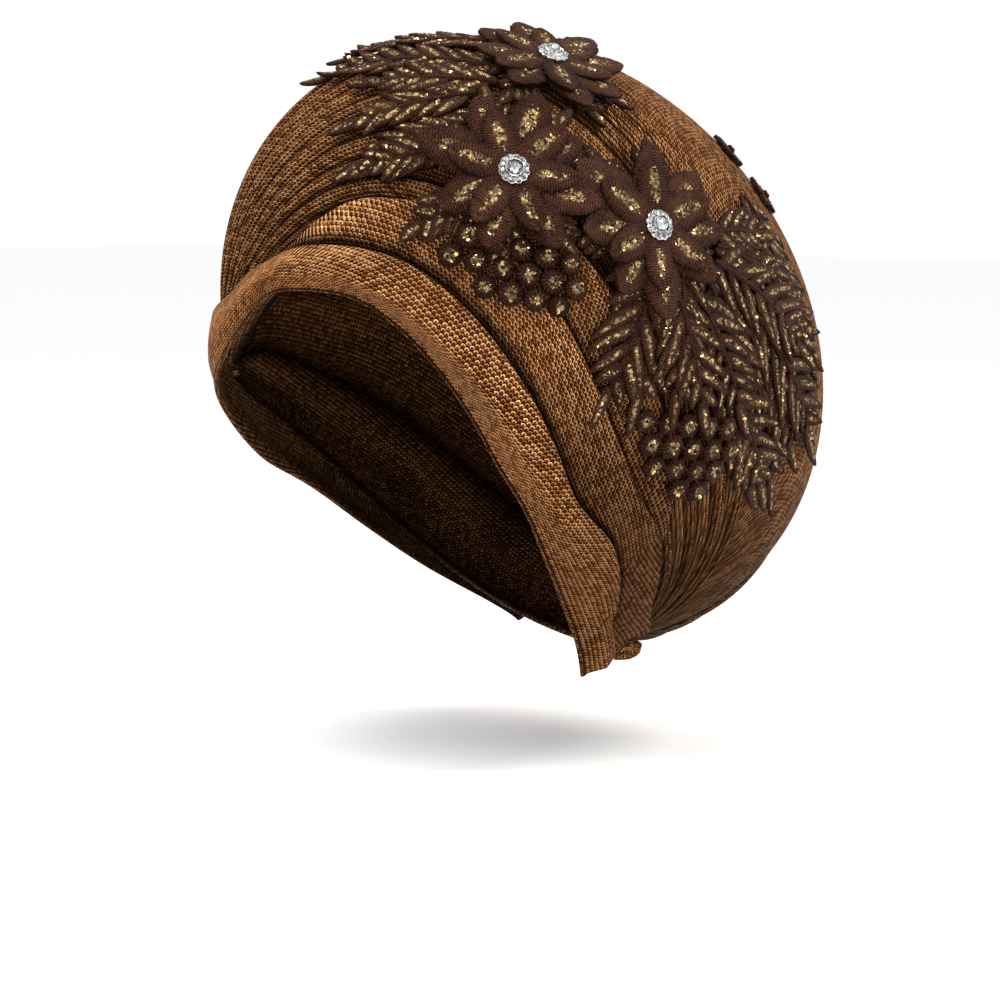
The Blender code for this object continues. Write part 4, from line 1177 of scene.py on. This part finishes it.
def layTuck(look):
    view = unit(napeGather - centre)
    up = unit(np.array([0, 0, 1]) - view * view[2])
    right = np.cross(up, view)
    heading = math.radians(look["heading"])
    along = right * math.cos(heading) + up * math.sin(heading)
    across = np.cross(view, along)
    middle = napeGather + view * (look["depth"] / 2 + look["clearance"])
    t = np.linspace(0.02, math.pi - 0.02, look["rings"])[:, None]
    angle = circle(look["around"])[None, :]
    fold = np.cos(look["folds"] * angle + 1.6 * np.cos(t))
    swell = np.sin(t) ** look["fullness"] * (1 + look["foldDepth"] * (np.sqrt((fold + 1) / 2) - 1))
    place = -np.cos(t) * look["length"] / 2 + angle * 0
    aside = np.cos(angle) * swell * look["width"] / 2
    out = np.sin(angle) * swell * look["depth"] / 2
    points = middle + place[..., None] * along + aside[..., None] * across + out[..., None] * view
    rows, around = points.shape[:2]
    faces = gridQuads(0, rows, around, wrap=True).tolist()
    faces += [list(range(around))[::-1], [(rows - 1) * around + i for i in range(around)]]
    points = points.reshape(-1, 3)
    faces = outwardFaces(points, faces)
    uv = np.stack([place, angle * look["width"] / 2 + t * 0], -1)
    # painted shade: the tuck darkens in the creases between its folds
    crease = (1 - np.sqrt((fold + 1) / 2)) ** 2 * 0.9
    return makePiece("tuckCloth", points, faces, uv.reshape(-1, 2), {"crease": crease, "edge": crease * 0}, bandCloth)


tuckCloth = layTuck(tuckLook)
print("tuck rolled")


# Geometry Nodes: small shapes set on chosen points or scattered over the lace

def newTree(name, sizes):
    tree = bpy.data.node_groups.new(name, "GeometryNodeTree")
    tree.interface.new_socket("Geometry", in_out="INPUT", socket_type="NodeSocketGeometry")
    for label, kind in sizes:
        tree.interface.new_socket(label, in_out="INPUT", socket_type=kind)
    tree.interface.new_socket("Geometry", in_out="OUTPUT", socket_type="NodeSocketGeometry")
    return tree, tree.nodes.new("NodeGroupInput"), tree.nodes.new("NodeGroupOutput")


def addNode(tree, kind, settings=(), inputs=()):
    made = tree.nodes.new(kind)
    for key, value in dict(settings).items():
        setattr(made, key, value)
    for key, value in dict(inputs).items():
        if isinstance(value, bpy.types.NodeSocket):
            tree.links.new(value, made.inputs[key])
        else:
            made.inputs[key].default_value = value
    return made


def conePiece(tree, given):
    shape = addNode(tree, "GeometryNodeMeshCone", {}, {
        "Vertices": given.outputs["Sides"], "Radius Top": given.outputs["Table"],
        "Radius Bottom": given.outputs["Radius"], "Depth": given.outputs["Height"]})
    return addNode(tree, "GeometryNodeSetShadeSmooth", {}, {"Geometry": shape.outputs["Mesh"], "Shade Smooth": False})


def finishTree(tree, given, done, instances):
    real = addNode(tree, "GeometryNodeRealizeInstances", {}, {"Geometry": instances})
    painted = addNode(tree, "GeometryNodeSetMaterial", {}, {
        "Geometry": real.outputs["Geometry"], "Material": given.outputs["Material"]})
    tree.links.new(painted.outputs["Geometry"], done.inputs["Geometry"])


shapeSizes = [("Sides", "NodeSocketInt"), ("Radius", "NodeSocketFloat"), ("Table", "NodeSocketFloat"),
              ("Height", "NodeSocketFloat"), ("Material", "NodeSocketMaterial")]


def scatterTree():
    sizes = shapeSizes + [("Density", "NodeSocketFloat"), ("Tilt", "NodeSocketFloat"), ("Seed", "NodeSocketInt")]
    tree, given, done = newTree("scatter", sizes)
    spread = addNode(tree, "GeometryNodeDistributePointsOnFaces", {"distribute_method": "RANDOM"}, {
        "Mesh": given.outputs["Geometry"], "Density": given.outputs["Density"], "Seed": given.outputs["Seed"]})
    low = addNode(tree, "ShaderNodeMath", {"operation": "MULTIPLY"}, {0: given.outputs["Tilt"], 1: -1.0})
    lean = addNode(tree, "ShaderNodeCombineXYZ", {}, {0: given.outputs["Tilt"], 1: given.outputs["Tilt"], 2: 3.14})
    leanLow = addNode(tree, "ShaderNodeCombineXYZ", {}, {0: low.outputs[0], 1: low.outputs[0], 2: -3.14})
    tilt = addNode(tree, "FunctionNodeRandomValue", {"data_type": "FLOAT_VECTOR"}, {
        "Min": leanLow.outputs[0], "Max": lean.outputs[0], "Seed": given.outputs["Seed"]})
    turned = addNode(tree, "FunctionNodeRotateRotation", {"rotation_space": "LOCAL"}, {
        "Rotation": spread.outputs["Rotation"], "Rotate By": tilt.outputs["Value"]})
    size = addNode(tree, "FunctionNodeRandomValue", {"data_type": "FLOAT"}, {"Seed": 5})
    size.inputs[2].default_value, size.inputs[3].default_value = 0.55, 1.25
    placed = addNode(tree, "GeometryNodeInstanceOnPoints", {}, {
        "Points": spread.outputs["Points"], "Instance": conePiece(tree, given).outputs[0],
        "Rotation": turned.outputs["Rotation"], "Scale": size.outputs[1]})
    finishTree(tree, given, done, placed.outputs["Instances"])
    return tree


def stoneTree():
    # stones on the points of a mesh, each turned to the point's attribute "facing"
    tree, given, done = newTree("setStones", shapeSizes)
    facing = addNode(tree, "GeometryNodeInputNamedAttribute", {"data_type": "FLOAT_VECTOR"}, {"Name": "facing"})
    turned = addNode(tree, "FunctionNodeAlignRotationToVector", {"axis": "Z"}, {"Vector": facing.outputs["Attribute"]})
    placed = addNode(tree, "GeometryNodeInstanceOnPoints", {}, {
        "Points": given.outputs["Geometry"], "Instance": conePiece(tree, given).outputs[0],
        "Rotation": turned.outputs["Rotation"]})
    finishTree(tree, given, done, placed.outputs["Instances"])
    return tree


def growPiece(name, points, faces, tree, sizes, facing=None):
    # runs a tree on a helper mesh and keeps the result as a plain mesh
    mesh = bpy.data.meshes.new(name + "Bed")
    mesh.from_pydata(np.asarray(points).tolist(), [], [tuple(int(i) for i in face) for face in faces])
    if facing is not None:
        mesh.attributes.new("facing", "FLOAT_VECTOR", "POINT").data.foreach_set(
            "vector", np.asarray(facing, np.float32).ravel())
    bed = linked(name + "Bed", mesh)
    modifier = bed.modifiers.new("grow", "NODES")
    modifier.node_group = tree
    for item in tree.interface.items_tree:
        if item.item_type == "SOCKET" and item.in_out == "INPUT" and item.name in sizes:
            modifier[item.identifier] = sizes[item.name]
    graph = bpy.context.evaluated_depsgraph_get()
    graph.update()
    grown = bpy.data.meshes.new_from_object(bed.evaluated_get(graph))
    grown.name = name
    bed.modifiers.remove(modifier)
    bpy.data.objects.remove(bed, do_unlink=True)
    return linked(name, grown)


# Glitter: dull gold flakes and brighter sequins along the middles of petals and leaflets

glitterLook = {
    "khaki": (0.40, 0.29, 0.145, 1),
    "gold": (0.86, 0.62, 0.24, 1),
    "pink": (0.75, 0.12, 0.22, 1),
    "khakiDark": (0.10, 0.07, 0.035, 1),
    "foilScale": 620.0,
    "flakeSides": 5, "flakeRadius": 0.46 * mm, "flakeHeight": 0.16 * mm, "flakeDensity": 1250000.0, "flakeTilt": 0.75,
    "sequinSides": 7, "sequinRadius": 0.72 * mm, "sequinTable": 0.55 * mm, "sequinHeight": 0.2 * mm,
    "sequinDensity": 105000.0, "sequinTilt": 0.45,
}


def sparkMaterial(name, low, high, rare):
    material, start, shader = newMaterial(name)
    place = start.node("ShaderNodeTexCoord", out=3)
    chance = cellColours(place, glitterLook["foilScale"])
    colour = chance.smooth(0.2, 0.9).mixed(low, high)
    stray = Wire(start.tree, chance.socket.node.outputs[1]).maths("GREATER_THAN", 0.985)
    colour = stray.mixed(colour, rare)
    feed(shader, {"Base Color": colour, "Metallic": 0.9, "Roughness": chance * 0.2 + 0.16})
    return material


flakeFoil = sparkMaterial("flakeFoil", glitterLook["khakiDark"], glitterLook["khaki"], glitterLook["gold"])
sequinFoil = sparkMaterial("sequinFoil", glitterLook["khaki"], glitterLook["gold"], glitterLook["pink"])


def joinBeds(works):
    points, faces, count = [], [], 0
    for work in works:
        part = np.concatenate(work.bedPoints)
        points.append(part)
        faces += [[count + i for i in face] for face in work.bedFaces]
        count += len(part)
    return np.concatenate(points), faces


scatter, setStones = scatterTree(), stoneTree()
glitterPieces = []
flowerBeds, leafBeds = beds[:len(flowerRows)], beds[len(flowerRows):]
for name, works, seed in (("petal", flowerBeds, 4), ("leaf", leafBeds, 8)):
    points, faces = joinBeds(works)
    look = glitterLook
    glitterPieces.append(growPiece(name + "Flakes", points, faces, scatter, {
        "Sides": look["flakeSides"], "Radius": look["flakeRadius"], "Table": 0.0, "Height": look["flakeHeight"],
        "Material": flakeFoil, "Density": look["flakeDensity"], "Tilt": look["flakeTilt"], "Seed": seed}))
    glitterPieces.append(growPiece(name + "Sequins", points, faces, scatter, {
        "Sides": look["sequinSides"], "Radius": look["sequinRadius"], "Table": look["sequinTable"],
        "Height": look["sequinHeight"], "Material": sequinFoil, "Density": look["sequinDensity"],
        "Tilt": look["sequinTilt"], "Seed": seed + 1}))
for piece in glitterPieces:
    print("glitter:", piece.name, len(piece.data.polygons), "faces")


# Buttons: a lobed silver rim with twelve small stones, a bezel and a cut centre stone

buttonLook = {
    "radius": 5.75 * mm, "base": 1.4 * mm, "lobes": 12, "lobeDepth": 0.5 * mm, "clearance": 0.9 * mm,
    "flowerWall": 1.8 * mm, "ringRadius": 4.62 * mm, "ringStone": 0.98 * mm, "ringTable": 0.55 * mm,
    "ringHeight": 0.75 * mm, "wornScale": 900.0, "facetScale": 1100.0,
    "bezelInner": 2.9 * mm, "bezelWall": 0.55 * mm, "bezelRise": 1.3 * mm,
    "stoneRadius": 2.6 * mm, "stoneHeight": 2.5 * mm, "stoneClearance": 0.3 * mm,
    "silver": (0.62, 0.61, 0.59, 1), "silverDark": (0.10, 0.09, 0.08, 1),
    "stone": (0.60, 0.63, 0.66, 1), "stoneDark": (0.16, 0.18, 0.20, 1),
}


def silverMaterial(look):
    material, start, shader = newMaterial("silver")
    place = start.node("ShaderNodeTexCoord", out=3)
    worn = noise(place, look["wornScale"], 2.0)
    colour = worn.smooth(0.25, 0.62).mixed(look["silverDark"], look["silver"])
    bump = start.node("ShaderNodeBump", {}, {"Strength": 0.6, "Distance": 0.1 * mm, "Height": worn})
    feed(shader, {"Base Color": colour, "Metallic": 1.0, "Roughness": worn * 0.2 + 0.14, "Normal": bump})
    return material


def stoneMaterial(name, look):
    material, start, shader = newMaterial(name)
    place = start.node("ShaderNodeTexCoord", out=3)
    # painted reflection: light and dark cells stand in for the flashes of the stone's facets
    facet = cellColours(place, look["facetScale"])
    colour = facet.smooth(0.15, 0.7).mixed(look["stoneDark"], look["stone"])
    feed(shader, {"Base Color": colour, "Metallic": 0.85, "Roughness": facet * 0.05 + 0.03, "Coat Weight": 1.0,
                  "Coat Roughness": 0.02})
    return material


silver = silverMaterial(buttonLook)
rhinestone = stoneMaterial("rhinestone", buttonLook)


def buttonSeat(turn, slide, lift):
    point = crownPoint(turn, slide)
    view = puffNormal(point)
    right = unit(np.cross([0, 0, 1], view))
    seat = point + view * (lift + buttonLook["flowerWall"] + buttonLook["clearance"])
    return seat, view, right, np.cross(view, right)


def layButton(name, seat, view, right, up, look):
    around = 12 * look["lobes"]
    angle = circle(around)
    lobe = np.abs(np.sin(angle * look["lobes"] / 2))
    edge = look["radius"] - look["lobeDepth"] * (1 - lobe)
    bezel, rim = look["bezelInner"], look["bezelInner"] + look["bezelWall"]
    base, top = look["base"], look["base"] + look["bezelRise"]
    beads = 0.12 * mm * np.cos(angle * 24)
    rings = ((edge - 0.3 * mm, 0.0), (edge, 0.25 * mm), (edge, base - 0.25 * mm), (edge - 0.25 * mm, base),
             (edge - 0.6 * mm, base - 0.1 * mm), (look["ringRadius"], base - 0.25 * mm), (rim + 0.35 * mm, base),
             (rim + 0.05 * mm, top - 0.45 * mm + beads), (rim - 0.12 * mm, top + beads),
             (bezel + 0.08 * mm, top + beads), (bezel, top - 0.3 * mm), (bezel, base + 0.02 * mm))
    points = []
    for radius, height in rings:
        radius, height = radius + angle * 0, height + angle * 0
        points.append(seat + (right * np.cos(angle)[:, None] + up * np.sin(angle)[:, None]) * radius[:, None]
                      + view * height[:, None])
    faces = gridQuads(0, len(rings), around, wrap=True).tolist()
    faces += [list(range(around))[::-1], [(len(rings) - 1) * around + i for i in range(around)]]
    points = np.concatenate(points)
    faces = outwardFaces(points, faces)
    return makePiece(name, points, faces, material=silver, smoothAngle=35)


def cutStone(name, seat, view, right, up, look):
    # a round stone with a table, eight main facets and a ring of small ones at the girdle
    radius, height = look["stoneRadius"], look["stoneHeight"]
    levels = ((16, 1.0, 0.0, 0.0), (16, 1.0, 0.35, 0.0), (8, 0.82, 0.72, 0.5), (8, 0.58, 1.0, 0.0))
    cut = bmesh.new()
    for count, share, rise, shift in levels:
        for index in range(count):
            angle = 2 * math.pi * (index + shift) / count
            away = right * math.cos(angle) + up * math.sin(angle)
            cut.verts.new(seat + away * radius * share + view * height * rise)
    bmesh.ops.convex_hull(cut, input=list(cut.verts))
    bmesh.ops.recalc_face_normals(cut, faces=list(cut.faces))
    mesh = bpy.data.meshes.new(name)
    cut.to_mesh(mesh)
    cut.free()
    mesh.materials.append(rhinestone)
    return linked(name, mesh)


buttonPieces = []
for place, (node, turn, slide, length, petals, roll, lift) in zip(("top", "middle", "side"), flowerRows[:3]):
    look = buttonLook
    seat, view, right, up = buttonSeat(turn, slide, lift)
    rim = layButton(place + "Button", seat, view, right, up, look)
    seatUp = seat + view * (look["base"] + look["stoneClearance"])
    stone = cutStone(place + "Stone", seatUp, view, right, up, look)
    angle = (np.arange(look["lobes"]) + 0.5) * 2 * np.pi / look["lobes"]
    ring = seat + (right * np.cos(angle)[:, None] + up * np.sin(angle)[:, None]) * look["ringRadius"]
    ring = ring + view * (look["base"] - 0.2 * mm)
    small = growPiece(place + "RingStones", ring, [], setStones, {
        "Sides": 8, "Radius": look["ringStone"], "Table": look["ringTable"], "Height": look["ringHeight"],
        "Material": rhinestone}, np.broadcast_to(view, ring.shape))
    buttonPieces.append((place, rim, stone, small))
print("buttons set:", len(buttonPieces))


# Hand over: every piece rides on the root body

def surfaceArea(obj):
    return sum(face.area for face in obj.data.polygons)


def handOver(obj, nodes=()):
    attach(obj, "root")
    if nodes:
        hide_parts(*nodes)


# piece, node, flat width and length of its visible layer, how it is held, what it rests on
sheets = (
    (crownCloth, "pleated_crown", (0.40, 0.45), "gathered", ["lower_wrap"]),
    (sideCloth, "side_fold", (0.026, 0.18), "folded", ["pleatedCloth"]),
    (upperCloth, "upper_wrap", (0.028, 0.30), "folded", ["pleatedCloth"]),
    (lowerCloth, "lower_wrap", (0.027, 0.60), "folded", ["upperWrapCloth"]),
    (tuckCloth, "tail_tuck", (0.017, 0.018), "folded", ["pleatedCloth"]),
)
for cloth, node, flat, held, rests in sheets:
    handOver(cloth, (node,))
    print(cloth.name, "half area", round(surfaceArea(cloth) / 2, 5), "flat area", round(flat[0] * flat[1], 5))
for piece, node in lacePieces:
    handOver(piece, (node,))
for piece in glitterPieces:
    handOver(piece)
for place, rim, stone, small in buttonPieces:
    handOver(rim, ("button_setting_" + place,))
    handOver(stone, ("button_stone_" + place,))
    handOver(small)
